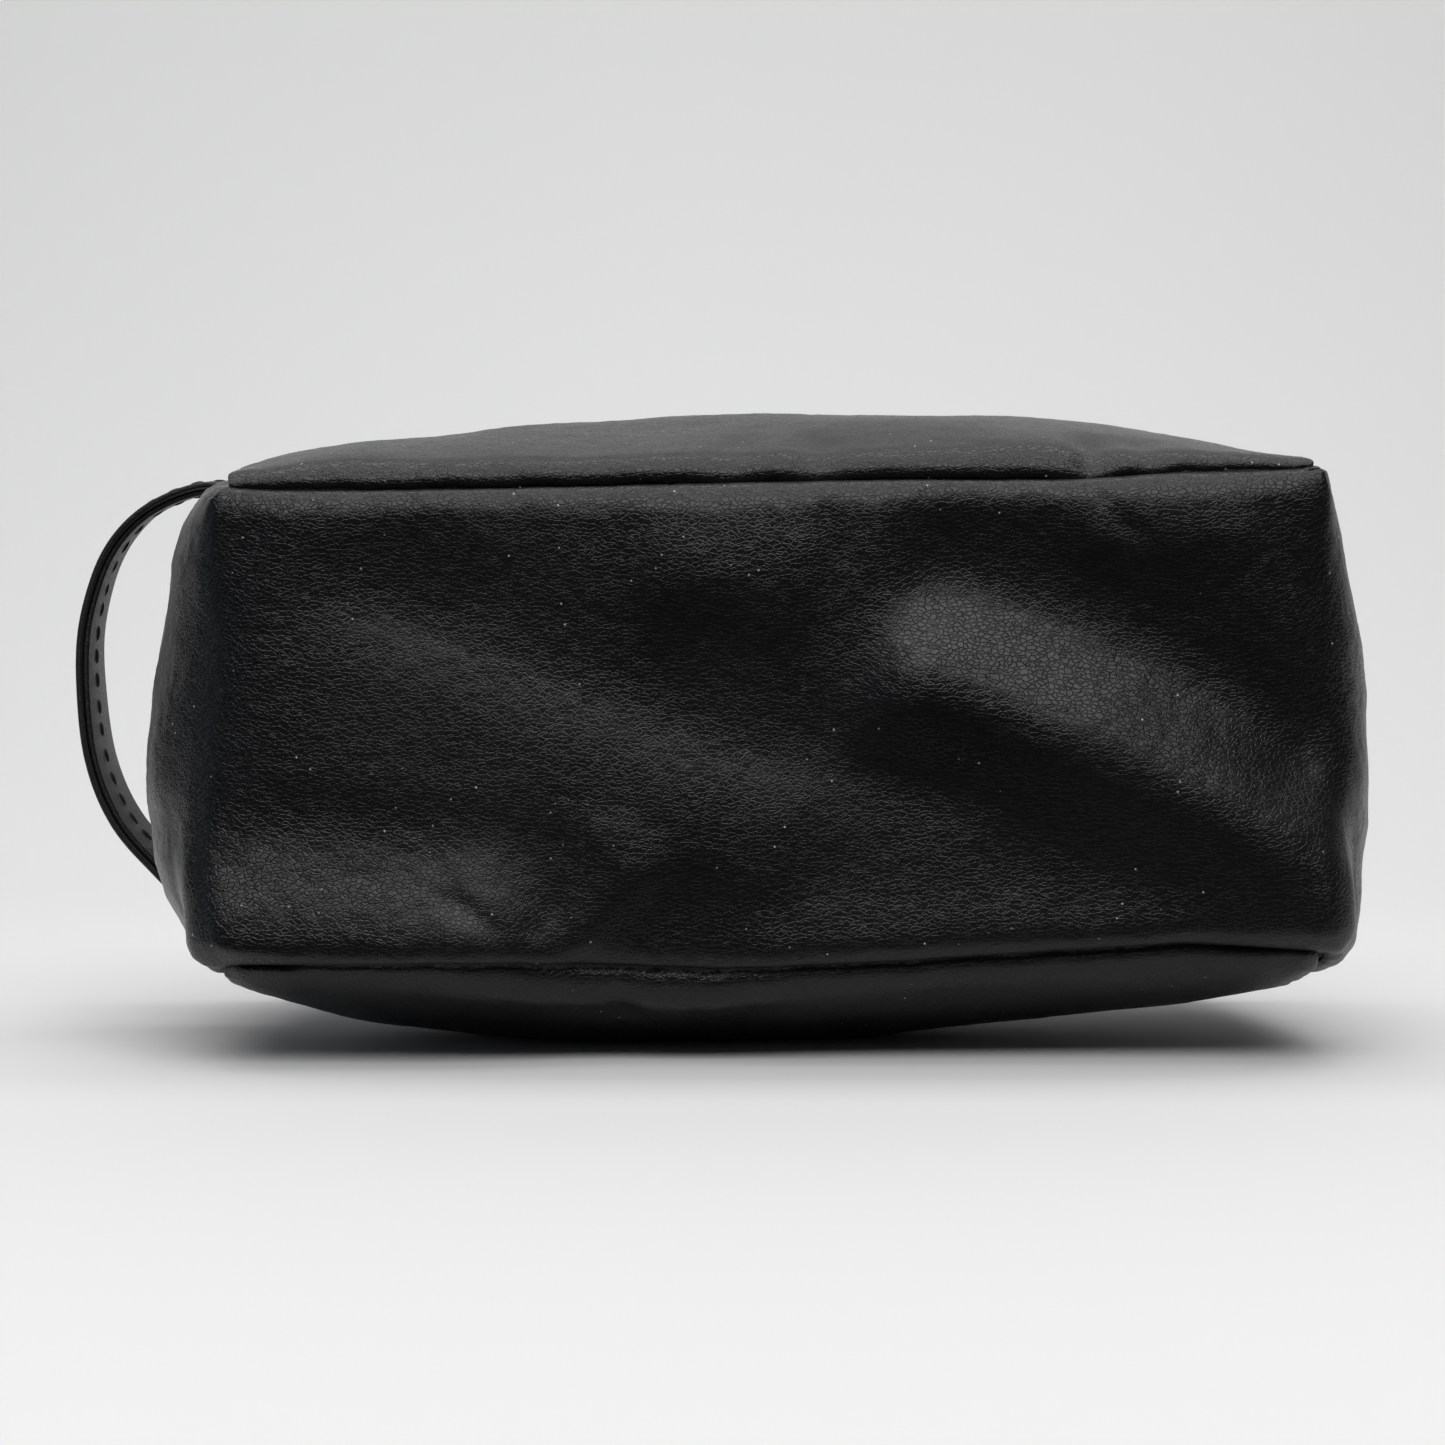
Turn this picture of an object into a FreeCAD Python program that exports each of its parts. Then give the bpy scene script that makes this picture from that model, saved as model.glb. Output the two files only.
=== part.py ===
import FreeCAD, Part
import math
import os

# A soft black makeup bag with a centre zip and a wrist loop at one end, lying on its rear wall.
# Millimetres. +X runs along the bag, away from the wrist loop; +Y runs from the base panel to the
# zip; +Z is up. The origin is the middle of the flat patch that the rear wall rests on.

# ---- driving dimensions -------------------------------------------------------------------
CORNER_X = 108.0        # half the distance between the corner seams
HEIGHT = 118.0          # base panel to zip
BASE_HALF = 47.0        # half the base panel's width
TOP_HALF = 40.0         # half the width between the two lip hinges
WALL_HALF_MID = 67.0    # half the thickness where a wall swells most
WALL_HALF_END = 53.0    # the same at a corner seam, half-way up
CENTRE_Z = 65.5         # the bag's middle plane above the floor: the rear wall is flattened by 1.5 mm
LEFT_BULGE = 17.5       # how far each end panel swells past its corner seams
RIGHT_BULGE = 10.0
BULGE_SHAPE = [(0.0, 0.35), (0.08, 0.72), (0.21, 1.0), (0.5, 0.92), (0.8, 0.7), (1.0, 0.5)]

SKIN = 1.2              # coated leather cloth
FOAM = 2.0              # foam sheet, and the base board
LINING = 0.5
LAYER_GAP = 0.1

RETURN_LENGTH = 10.0    # the gusset strip turned over each end of the top
LIP_CLEAR = 0.4
ZIP_SLOT_HALF = 6.5     # half the slot between the two lips
TAPE_THICK = 0.6
TAPE_EDGE = 0.9         # the tape's woven edge from the zip's centre line
TAPE_OUTER = 13.0
TOOTH_PITCH = 2.6
TOOTH_LENGTH = 1.05     # along X
TOOTH_HEIGHT = 2.4
TOOTH_REACH = 0.8       # past the centre line, between the other row's teeth
TOOTH_ROOT = 2.6
CHAIN_START = -95.0
CHAIN_END = 86.8

SLIDER_X = 86.0         # the slider's middle when the zip is closed
SLIDER_LENGTH = 9.6
SLIDER_WIDTH = 9.2
PLATE = 0.9
CAVITY = 3.0
FLANGE = 0.7
TAPE_SLIT = 1.3
POST_LENGTH = 2.4
POST_WIDTH = 1.6
PIN_RADIUS = 0.75
PIN_HEIGHT = 2.1        # pull pin above the slider's outer plate
PULL_LENGTH = 17.0
PULL_WIDTH = 6.4
PULL_THICK = 1.6
TAB_LENGTH = 36.0
TAB_WIDTH = 9.0
TAB_THICK = 2.4

LOOP_WIDTH = 18.0
LOOP_LAYER = 1.3
LOOP_Y = 3.0            # the loop's middle, half-way up the bag
LOOP_PIVOT_X = -128.0
LOOP_SPLIT = 9.4        # radius about the pivot at which the moving loop starts
LOOP_SWING = 40.0       # degrees each way
# the loop's outer face seen from the base, from the upper root round to the lower one
LOOP_FACE = [(-107.0, 50.4), (-121.8, 51.6), (-133.9, 46.2), (-142.4, 36.0), (-146.6, 22.0),
             (-147.2, 8.0), (-145.4, -8.0), (-140.2, -21.0), (-131.4, -31.4), (-120.6, -42.0),
             (-107.0, -53.6)]

# ---- derived ------------------------------------------------------------------------------
Y_BASE = -HEIGHT / 2
Y_TOP = HEIGHT / 2
WALL_TOP_Y = Y_TOP - SKIN - LIP_CLEAR
INNER_TOP_Y = Y_TOP - 2.4
FOAM_OUT = SKIN + LAYER_GAP
FOAM_IN = FOAM_OUT + FOAM
LINING_OUT = FOAM_IN + LAYER_GAP
LINING_IN = LINING_OUT + LINING
RETURN_X = CORNER_X - RETURN_LENGTH
LIP_X = RETURN_X - LIP_CLEAR
TAPE_Y = Y_TOP - SKIN - 0.05 - TAPE_THICK
TAPE_MID_Y = TAPE_Y + TAPE_THICK / 2
PIN_Y = TAPE_MID_Y + CAVITY / 2 + PLATE + PIN_HEIGHT
WALL_STATIONS = [-CORNER_X, -98.0, -84.0, -62.0, -34.0, 0.0, 34.0, 62.0, 84.0, 98.0, CORNER_X]
ARC_POINTS = 17
FRONT = 1
REAR = -1
PEAK_X = {FRONT: 22.0, REAR: -28.0}         # where each wall swells most
SWELL_POWER = {FRONT: 2.9, REAR: 2.4}       # and how squarely it swells along X
BIG = 400.0

V = FreeCAD.Vector
os.makedirs("parts", exist_ok=True)


def save(name, *solids):
    shape = solids[0] if len(solids) == 1 else Part.makeCompound(list(solids))
    shape.exportStep("parts/" + name + ".step")
    print(f"{name:24s} {shape.Volume:10.1f} mm3 valid {shape.isValid()}")


def box(x0, x1, y0, y1, z0, z1):
    """A box whose heights are measured from the bag's middle plane."""
    return Part.makeBox(x1 - x0, y1 - y0, z1 - z0, V(x0, y0, CENTRE_Z + z0))


def face_of(edges):
    return Part.Face(Part.Wire(edges))


# ---- the swollen shape ----------------------------------------------------------------------
def wall_half(side, x):
    """Half the bag's thickness on one side, half-way up the bag."""
    run = CORNER_X - PEAK_X[side] if x > PEAK_X[side] else CORNER_X + PEAK_X[side]
    share = 1.0 - (abs(x - PEAK_X[side]) / run) ** SWELL_POWER[side]
    return WALL_HALF_END + (WALL_HALF_MID - WALL_HALF_END) * share


def half_at(side, x, y, depth):
    """Half the bag's thickness at x and y, depth inside its outer face: an arc through the base
    corner, the swell half-way up and the top corner."""
    ya, za = Y_BASE + depth, BASE_HALF - depth
    zb = wall_half(side, x) - depth
    yc, zc = WALL_TOP_Y, TOP_HALF - depth
    # the circle through (ya, za), (0, zb) and (yc, zc)
    a1, b1, c1 = 2 * ya, 2 * (za - zb), ya ** 2 + za ** 2 - zb ** 2
    a2, b2, c2 = 2 * yc, 2 * (zc - zb), yc ** 2 + zc ** 2 - zb ** 2
    det = a1 * b2 - a2 * b1
    cy, cz = (c1 * b2 - c2 * b1) / det, (a1 * c2 - a2 * c1) / det
    radius = math.hypot(cy, zb - cz)
    return cz + math.sqrt(radius ** 2 - (y - cy) ** 2)


def wall_line(side, x, depth, y_low, y_top):
    """A wall's profile at x as points from y_low to y_top. The floor flattens the rear wall."""
    points = []
    for i in range(ARC_POINTS):
        y = y_low + (y_top - y_low) * i / (ARC_POINTS - 1)
        half = half_at(side, x, y, depth)
        if side == REAR:
            half = min(half, CENTRE_Z - depth)
        points.append(V(x, y, CENTRE_Z + side * half))
    return points


def line(a, b):
    return Part.LineSegment(a, b).toShape()


def wall_layer(side, outer, inner, y_top, y_low=None, stations=None):
    """One layer of a wall, outer to inner deep, mitred where it meets the base."""
    wires = []
    for x in stations or WALL_STATIONS:
        outside = wall_line(side, x, outer, Y_BASE + outer if y_low is None else y_low, y_top)
        inside = wall_line(side, x, inner, Y_BASE + inner if y_low is None else y_low, y_top)
        wires.append(Part.makePolygon(outside + inside[::-1] + outside[:1]))
    return Part.makeLoft(wires, True, True)


def end_block(side, bulge, depth):
    """The swollen end of the bag past its corner seams, depth inside the outer face."""
    wires = []
    for share, swell in BULGE_SHAPE:
        y = Y_BASE + depth + share * (HEIGHT - 2 * depth)
        half = half_at(FRONT, CORNER_X, y, depth)
        a, b = V(side * CORNER_X, y, CENTRE_Z + half), V(side * CORNER_X, y, CENTRE_Z - half)
        middle = V(side * (CORNER_X + bulge * swell - depth), y, CENTRE_Z)
        wires.append(Part.Wire([Part.Arc(a, middle, b).toShape(), line(b, a)]))
    return Part.makeLoft(wires, True)


def end_layer(side, bulge, outer, inner):
    return end_block(side, bulge, outer).cut(end_block(side, bulge, inner))


def base_layer(outer, inner):
    corners = [(Y_BASE + outer, -(BASE_HALF - outer)), (Y_BASE + outer, BASE_HALF - outer),
               (Y_BASE + inner, BASE_HALF - inner), (Y_BASE + inner, -(BASE_HALF - inner))]
    points = [V(-CORNER_X, y, CENTRE_Z + z) for y, z in corners]
    edges = [line(points[i], points[(i + 1) % 4]) for i in range(4)]
    return face_of(edges).extrude(V(2 * CORNER_X, 0, 0))


# ---- casing ---------------------------------------------------------------------------------
def make_gusset_strip():
    """One strip of leather cloth: up the left end, along the base and up the right end, with
    each end turned over onto the top."""
    strip = base_layer(0, SKIN)
    for side, bulge in ((-1, LEFT_BULGE), (1, RIGHT_BULGE)):
        strip = strip.fuse(end_layer(side, bulge, 0, SKIN))
        x0, x1 = sorted((side * RETURN_X, side * CORNER_X))
        strip = strip.fuse(box(x0, x1, Y_TOP - SKIN, Y_TOP, -TOP_HALF, TOP_HALF))
    save("base_and_end_gusset", strip.removeSplitter())


def make_walls():
    for name, side in (("front", FRONT), ("rear", REAR)):
        save(name + "_wall_panel", wall_layer(side, 0, SKIN, WALL_TOP_Y))
        save(name + "_wall_foam", wall_layer(side, FOAM_OUT, FOAM_IN, INNER_TOP_Y))
        save(name + "_wall_lining", wall_layer(side, LINING_OUT, LINING_IN, INNER_TOP_Y))


def make_inner_gusset():
    save("base_board", base_layer(FOAM_OUT, FOAM_IN))
    save("left_end_foam", end_layer(-1, LEFT_BULGE, FOAM_OUT, FOAM_IN))
    save("right_end_foam", end_layer(1, RIGHT_BULGE, FOAM_OUT, FOAM_IN))
    lining = base_layer(LINING_OUT, LINING_IN)
    lining = lining.fuse(end_layer(-1, LEFT_BULGE, LINING_OUT, LINING_IN))
    lining = lining.fuse(end_layer(1, RIGHT_BULGE, LINING_OUT, LINING_IN))
    save("gusset_lining", lining.removeSplitter())


def make_seam_bindings():
    """Woven tape over the seam edges inside, along the base corner and up both end corners."""
    thick, wide = 0.9, 4.5
    outer = LINING_IN + 0.15
    inner = outer + thick
    for name, side in (("front", FRONT), ("rear", REAR)):
        z0, z1 = sorted((side * (BASE_HALF - inner - wide), side * (BASE_HALF - inner)))
        tape = box(-CORNER_X + 1, CORNER_X - 1, Y_BASE + outer, Y_BASE + inner, z0, z1)
        for end in (-1, 1):
            x = end * (CORNER_X - 1 - wide) if end > 0 else -CORNER_X + 1
            outside = wall_line(side, CORNER_X, outer, Y_BASE + outer, Y_TOP - 9)
            inside = wall_line(side, CORNER_X, inner + 0.4, Y_BASE + outer, Y_TOP - 9)
            riser = Part.Face(Part.makePolygon(outside + inside[::-1] + outside[:1]))
            riser.translate(V(x - CORNER_X, 0, 0))
            tape = tape.fuse(riser.extrude(V(wide, 0, 0)))
        save(name + "_seam_binding", tape.removeSplitter())


def make_slip_pocket():
    """An open-topped pocket on the rear lining, with a bound mouth."""
    half_length, low, mouth, hem = 72.0, -44.0, 18.0, 5.0
    out = LINING_IN + 0.6
    stations = [-half_length, -36.0, 0.0, 36.0, half_length]
    save("slip_pocket", wall_layer(REAR, out, out + 0.5, mouth, low, stations))
    save("slip_pocket_binding", wall_layer(REAR, out - 0.2, out + 0.8, mouth + hem, mouth + 0.1, stations))


def make_care_label():
    """A blank woven tag, caught in the left front corner seam inside."""
    save("care_label", box(-CORNER_X + 8, -CORNER_X + 8.4, 8, 26, 22, 42))


# ---- top lips and zip -----------------------------------------------------------------------
def lip_box(side, x0, x1, y0, y1, near, far):
    z0, z1 = sorted((side * near, side * far))
    return box(x0, x1, y0, y1, z0, z1)


def make_lips():
    for name, side in (("front", FRONT), ("rear", REAR)):
        save(name + "_lip", lip_box(side, -LIP_X, LIP_X, Y_TOP - SKIN, Y_TOP, ZIP_SLOT_HALF, TOP_HALF))
        facing_y = TAPE_Y - 0.05 - LINING
        save(name + "_lip_facing", lip_box(side, -LIP_X, LIP_X, facing_y, facing_y + LINING,
                                           ZIP_SLOT_HALF + 1.0, TOP_HALF - 5.0))
        save(name + "_zip_tape", lip_box(side, -CORNER_X + 2, CORNER_X - 2, TAPE_Y, TAPE_Y + TAPE_THICK,
                                         TAPE_EDGE, TAPE_OUTER))


def tooth(x, side):
    """One cast tooth: a block clamped over the tape's edge, with a rounded nose."""
    low = TAPE_MID_Y - TOOTH_HEIGHT / 2
    slot = TAPE_THICK / 2 + 0.03
    body = lip_box(side, x, x + TOOTH_LENGTH, low, low + TOOTH_HEIGHT, -TOOTH_REACH, TOOTH_ROOT)
    grip = lip_box(side, x - 1, x + 2, TAPE_MID_Y - slot, TAPE_MID_Y + slot, TAPE_EDGE - 0.03, TOOTH_ROOT + 1)
    body = body.cut(grip)
    nose = [e for e in body.Edges
            if all(abs(v.Z - (CENTRE_Z - side * TOOTH_REACH)) < 0.01 for v in e.Vertexes)
            and abs(e.Length - TOOTH_LENGTH) < 0.01]
    return body.makeFillet(0.5, nose)


def make_teeth():
    for name, side, shift in (("front", FRONT, 0.0), ("rear", REAR, TOOTH_PITCH / 2)):
        last = int((CHAIN_END - CHAIN_START - shift) / TOOTH_PITCH)
        save(name + "_zip_teeth", *[tooth(CHAIN_START + shift + i * TOOTH_PITCH, side) for i in range(last)])


def make_stops():
    """Metal clips that end the slider's travel: two at the closed end, one across the open end."""
    height = 1.1
    tops = []
    for side in (FRONT, REAR):
        clip = lip_box(side, 92.4, 94.6, TAPE_MID_Y - height, TAPE_MID_Y + height, 0.6, 3.2)
        grip = lip_box(side, 92, 95, TAPE_Y - 0.03, TAPE_Y + TAPE_THICK + 0.03, TAPE_EDGE - 0.03, 4)
        tops.append(clip.cut(grip))
    save("zip_top_stops", *tops)
    low, high = TAPE_MID_Y - height, TAPE_MID_Y + height
    bridge = box(-97.6, -95.6, low, high, -3.4, 3.4)
    for side in (FRONT, REAR):
        bridge = bridge.cut(lip_box(side, -99, -95, TAPE_Y - 0.03, TAPE_Y + TAPE_THICK + 0.03,
                                    TAPE_EDGE - 0.03, 4))
    save("zip_bottom_stop", bridge)


def make_slider():
    """Two plates joined by a post, with flanges that leave a slit for each tape, and two lugs
    that hold the pull's pin."""
    x0, x1 = SLIDER_X - SLIDER_LENGTH / 2, SLIDER_X + SLIDER_LENGTH / 2
    half = SLIDER_WIDTH / 2
    top, low = TAPE_MID_Y + CAVITY / 2, TAPE_MID_Y - CAVITY / 2
    block = box(x0, x1, low - PLATE, top + PLATE, -half, half)
    corners = [e for e in block.Edges if abs(e.Length - (CAVITY + 2 * PLATE)) < 0.01]
    block = block.makeFillet(1.6, corners)
    channel = box(x0 - 1, x1 + 1, low, top, -half + FLANGE, half - FLANGE)
    slits = box(x0 - 1, x1 + 1, TAPE_MID_Y - TAPE_SLIT / 2, TAPE_MID_Y + TAPE_SLIT / 2, -half - 1, half + 1)
    mouth = box(x1 - 3, x1 + 1, low, top, -half - 1, half + 1)
    slider = block.cut(channel.fuse(slits).fuse(mouth))
    slider = slider.fuse(box(x1 - POST_LENGTH, x1, low, top, -POST_WIDTH / 2, POST_WIDTH / 2))
    for side in (FRONT, REAR):
        slider = slider.fuse(lip_box(side, SLIDER_X - 1.6, SLIDER_X + 1.6, top + PLATE, PIN_Y + 1.3, 1.5, 2.6))
    slider = slider.fuse(Part.makeCylinder(PIN_RADIUS, 5.0, V(SLIDER_X, PIN_Y, CENTRE_Z - 2.5), V(0, 0, 1)))
    save("zip_slider", slider.removeSplitter())


def make_pull():
    """A metal pull with an eye round the slider's pin and a window for its leather tab."""
    eye_half, clear = 1.25, 0.2
    arm_end = SLIDER_X - PULL_LENGTH
    low, high = PIN_Y - PULL_THICK / 2, PIN_Y + PULL_THICK / 2
    pull = Part.makeCylinder(1.7, 2 * eye_half, V(SLIDER_X, PIN_Y, CENTRE_Z - eye_half), V(0, 0, 1))
    pull = pull.fuse(box(SLIDER_X - 5.0, SLIDER_X, low, high, -eye_half, eye_half))
    plate = box(arm_end, SLIDER_X - 4.0, low, high, -PULL_WIDTH / 2, PULL_WIDTH / 2)
    corners = [e for e in plate.Edges if abs(e.Length - PULL_THICK) < 0.01]
    pull = pull.fuse(plate.makeFillet(1.5, corners))
    pull = pull.cut(Part.makeCylinder(PIN_RADIUS + clear, 20, V(SLIDER_X, PIN_Y, CENTRE_Z - 10), V(0, 0, 1)))
    window = box(arm_end + 1.5, arm_end + 4.7, low - 1, high + 1, -2.1, 2.1)
    save("zip_pull", pull.cut(window).removeSplitter())

    # a folded strip through the window, sewn to itself: a neck and two plies
    neck = 3.8
    x_in = arm_end + 2.0
    tab = box(x_in - TAB_LENGTH, arm_end - 0.4, PIN_Y - TAB_THICK / 2, PIN_Y + TAB_THICK / 2,
              -TAB_WIDTH / 2, TAB_WIDTH / 2)
    corners = [e for e in tab.Edges if abs(e.Length - TAB_THICK) < 0.01]
    tab = tab.makeFillet(1.8, corners)
    fold_out = box(arm_end - 1.5, x_in + 2.2, PIN_Y - 1.7, PIN_Y + 1.7, -neck / 2, neck / 2)
    fold_in = box(arm_end - 0.5, x_in + 1.4, low - 0.1, high + 0.1, -neck, neck)
    save("zip_pull_tab", tab.fuse(fold_out.cut(fold_in)).removeSplitter())


# ---- wrist loop -------------------------------------------------------------------------------
def loop_curve(depth):
    """The loop's line depth inside its outer face, as a smooth curve in the XZ plane."""
    points = []
    for i, (x, z) in enumerate(LOOP_FACE):
        ax, az = LOOP_FACE[max(i - 1, 0)]
        bx, bz = LOOP_FACE[min(i + 1, len(LOOP_FACE) - 1)]
        run = math.hypot(bx - ax, bz - az)
        # the inner side is to the left of the direction of travel
        points.append(V(x - depth * (bz - az) / run, 0, CENTRE_Z + z + depth * (bx - ax) / run))
    curve = Part.BSplineCurve()
    curve.interpolate(points)
    return curve


def loop_ribbon(outer, inner, half_width):
    edge_out, edge_in = loop_curve(outer).toShape(), loop_curve(inner).toShape()
    a, b = edge_out.Vertexes[0].Point, edge_out.Vertexes[-1].Point
    c, d = edge_in.Vertexes[0].Point, edge_in.Vertexes[-1].Point
    ribbon = face_of([edge_out, line(b, d), edge_in, line(c, a)])
    ribbon.translate(V(0, LOOP_Y - half_width, 0))
    return ribbon.extrude(V(0, 2 * half_width, 0))


def loop_zone(radius):
    """Everything on the loop's side of its pivot, with a round edge that turns in its seat."""
    reach = Part.makeCylinder(radius, BIG, V(LOOP_PIVOT_X, LOOP_Y, -BIG / 2), V(0, 0, 1))
    beyond = Part.makeBox(BIG, BIG, BIG, V(LOOP_PIVOT_X - BIG, LOOP_Y - BIG / 2, -BIG / 2))
    return reach.fuse(beyond)


def make_wrist_loop():
    half = LOOP_WIDTH / 2
    layers = {"outer": (0.0, LOOP_LAYER), "inner": (LOOP_LAYER + 0.05, 2 * LOOP_LAYER + 0.05)}
    for name, (outer, inner) in layers.items():
        moving = loop_ribbon(outer, inner, half).common(loop_zone(LOOP_SPLIT - 0.3))
        save("wrist_loop_" + name, *moving.Solids)
    # the sewn-in roots narrow to a fork that leaves room for the loop to swing
    seat = math.cos(math.radians(LOOP_SWING + 2)) * LOOP_SPLIT
    fork = Part.makeBox(BIG, 2 * seat, BIG, V(LOOP_PIVOT_X, LOOP_Y - seat, -BIG / 2))
    beside = Part.makeBox(BIG, BIG, BIG, V(LOOP_PIVOT_X + LOOP_SPLIT * 0.75, -BIG / 2, -BIG / 2))
    inside = Part.makeBox(BIG, BIG, BIG, V(-CORNER_X - 0.3, -BIG / 2, -BIG / 2))
    keep = fork.fuse(beside).cut(loop_zone(LOOP_SPLIT)).cut(inside)
    roots = loop_ribbon(0.0, 2 * LOOP_LAYER + 0.05, half).common(keep).cut(end_block(-1, LEFT_BULGE, -0.1))
    solids = sorted(roots.Solids, key=lambda s: s.CenterOfMass.z)
    save("lower_loop_root", solids[0])
    save("upper_loop_root", solids[-1])
    make_loop_stitches()


def make_loop_stitches():
    """A row of thread stitches down the middle of the loop's inner face."""
    pitch, length, count = 5.0, 3.0, 21
    curve = loop_curve(2 * LOOP_LAYER + 0.05 + 0.25)
    total = curve.length()
    start = total / 2 - pitch * (count - 1) / 2
    stitches = []
    for i in range(count):
        at = curve.parameterAtDistance(start + i * pitch, curve.FirstParameter)
        point, tangent = curve.value(at), V(curve.tangent(at)[0])
        stitch = Part.makeBox(length, 0.7, 0.3, V(-length / 2, -0.35, -0.15))
        stitch.rotate(V(0, 0, 0), V(0, 1, 0), math.degrees(math.atan2(-tangent.z, tangent.x)))
        stitch.translate(point + V(0, LOOP_Y, 0))
        stitches.append(stitch)
    save("wrist_loop_stitches", *stitches)


def main():
    for old in os.listdir("parts"):
        if old.endswith(".step"):
            os.remove(os.path.join("parts", old))
    make_gusset_strip()
    make_walls()
    make_inner_gusset()
    make_seam_bindings()
    make_slip_pocket()
    make_care_label()
    make_lips()
    make_teeth()
    make_stops()
    make_slider()
    make_pull()
    make_wrist_loop()


main()
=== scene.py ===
import math

import bpy
import numpy as np
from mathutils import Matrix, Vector


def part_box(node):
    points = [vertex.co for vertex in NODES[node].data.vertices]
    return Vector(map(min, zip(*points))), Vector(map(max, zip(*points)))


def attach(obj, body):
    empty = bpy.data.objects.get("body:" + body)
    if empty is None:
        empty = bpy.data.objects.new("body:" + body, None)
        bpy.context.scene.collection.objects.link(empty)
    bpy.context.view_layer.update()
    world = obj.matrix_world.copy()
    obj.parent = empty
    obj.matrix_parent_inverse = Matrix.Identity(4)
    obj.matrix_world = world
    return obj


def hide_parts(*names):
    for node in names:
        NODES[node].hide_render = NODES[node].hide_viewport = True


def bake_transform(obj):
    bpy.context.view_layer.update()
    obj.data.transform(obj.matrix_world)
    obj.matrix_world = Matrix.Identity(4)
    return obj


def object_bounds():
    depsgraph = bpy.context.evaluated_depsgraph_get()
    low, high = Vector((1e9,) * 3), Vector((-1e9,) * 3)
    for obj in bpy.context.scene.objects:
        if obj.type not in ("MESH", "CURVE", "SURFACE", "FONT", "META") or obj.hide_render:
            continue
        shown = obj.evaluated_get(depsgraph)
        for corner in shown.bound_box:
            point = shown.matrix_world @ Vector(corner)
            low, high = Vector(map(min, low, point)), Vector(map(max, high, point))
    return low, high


# Lengths are in millimetres until mesh_from() turns them into metres.
MM = 0.001

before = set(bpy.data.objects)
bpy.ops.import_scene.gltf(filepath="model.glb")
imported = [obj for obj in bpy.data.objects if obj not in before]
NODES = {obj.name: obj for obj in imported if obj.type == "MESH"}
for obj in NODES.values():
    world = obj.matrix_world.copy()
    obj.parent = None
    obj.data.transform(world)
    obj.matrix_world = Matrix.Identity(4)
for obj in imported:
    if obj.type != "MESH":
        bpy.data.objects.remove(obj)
cad_low, cad_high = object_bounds()


def box_mm(node):
    low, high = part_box(node)
    return np.array(low) / MM, np.array(high) / MM


# ---- sizes read from the frame
FRONT, REAR = 1, -1
SIDES = {FRONT: "front", REAR: "rear"}
STRIP_LOW, STRIP_HIGH = box_mm("base_and_end_gusset")
WALL_HIGH = box_mm("front_wall_panel")[1]
LIP_LOW, LIP_HIGH = box_mm("front_lip")
LOOP_LOW, LOOP_HIGH = box_mm("wrist_loop_outer")

MID_Z = (STRIP_LOW[2] + STRIP_HIGH[2]) / 2
BASE_Y, TOP_Y = STRIP_LOW[1], STRIP_HIGH[1]
DEPTH = TOP_Y - BASE_Y
CORNER_X = WALL_HIGH[0]
WALL_TOP_Y = WALL_HIGH[1]
END_HALF = STRIP_HIGH[2] - MID_Z
LIP_HALF = LIP_HIGH[2] - MID_Z
SLOT_HALF = LIP_LOW[2] - MID_Z
LIP_X = LIP_HIGH[0]
BASE_HALF = 47.0        # half the width between the base seams
SKIN = 1.2              # thickness of the leather cloth

# where the photograph's outline leaves the CAD's: a flatter front wall and fuller end panels
FLATTER_FRONT = 2.2
FULLER_LEFT, FULLER_RIGHT = 2.0, 4.4
SWELL_HALF = {FRONT: WALL_HIGH[2] - MID_Z - FLATTER_FRONT, REAR: WALL_HIGH[2] - MID_Z}
LEFT_BULGE = -CORNER_X - STRIP_LOW[0] + FULLER_LEFT
RIGHT_BULGE = STRIP_HIGH[0] - CORNER_X + FULLER_RIGHT

# the base seams wander: height of each from the middle plane along X
SEAM_X = [-108, -60, -10, 25, 60, 80, 108]
SEAM_LINE = {FRONT: [47.8, 48.3, 49.5, 50.2, 50.2, 51.7, 51.8],
             REAR: [-48.0, -47.0, -48.8, -47.4, -45.0, -43.8, -45.2]}
WANDER_FADE = 6         # the power by which the wander dies out up the bag
PUCKER_SEED = {FRONT: 21, REAR: 41}
PEAK_X = {FRONT: 22.0, REAR: -28.0}
SWELL_POWER = {FRONT: 2.6, REAR: 2.4}
# how far the end panels stand out: up the bag from the base, and across from rear to front
RISE_AT = [0.0, 0.08, 0.21, 0.5, 0.8, 1.0]
RISE = [0.35, 0.72, 1.0, 0.92, 0.7, 0.5]
LEFT_ACROSS = ([-1, -0.91, -0.79, -0.65, -0.53, -0.29, -0.08, 0.17, 0.44, 0.63, 0.78, 0.92, 1],
               [0, 0.3, 0.53, 0.78, 0.9, 1.0, 0.98, 0.88, 0.76, 0.7, 0.55, 0.3, 0])
RIGHT_ACROSS = ([-1, -0.95, -0.87, -0.68, -0.4, -0.1, 0.09, 0.29, 0.52, 0.77, 0.96, 1],
                [0.1, 0.42, 0.68, 0.87, 1.0, 1.0, 1.0, 0.9, 0.64, 0.37, 0.12, 0])


# ---- number work
def smooth(x):
    x = np.clip(x, 0.0, 1.0)
    return x * x * (3 - 2 * x)


def lattice_noise(a, b, size, seed):
    """Smooth random values from -1 to 1 over the plane of a and b, with features about size wide."""
    n = 64
    table = np.random.default_rng(seed).uniform(-1, 1, (n, n))
    u, v = np.asarray(a) / size, np.asarray(b) / size
    i, j = np.floor(u).astype(int), np.floor(v).astype(int)
    fu, fv = smooth(u - i), smooth(v - j)
    low = table[i % n, j % n] * (1 - fu) + table[(i + 1) % n, j % n] * fu
    high = table[i % n, (j + 1) % n] * (1 - fu) + table[(i + 1) % n, (j + 1) % n] * fu
    return low * (1 - fv) + high * fv


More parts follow.
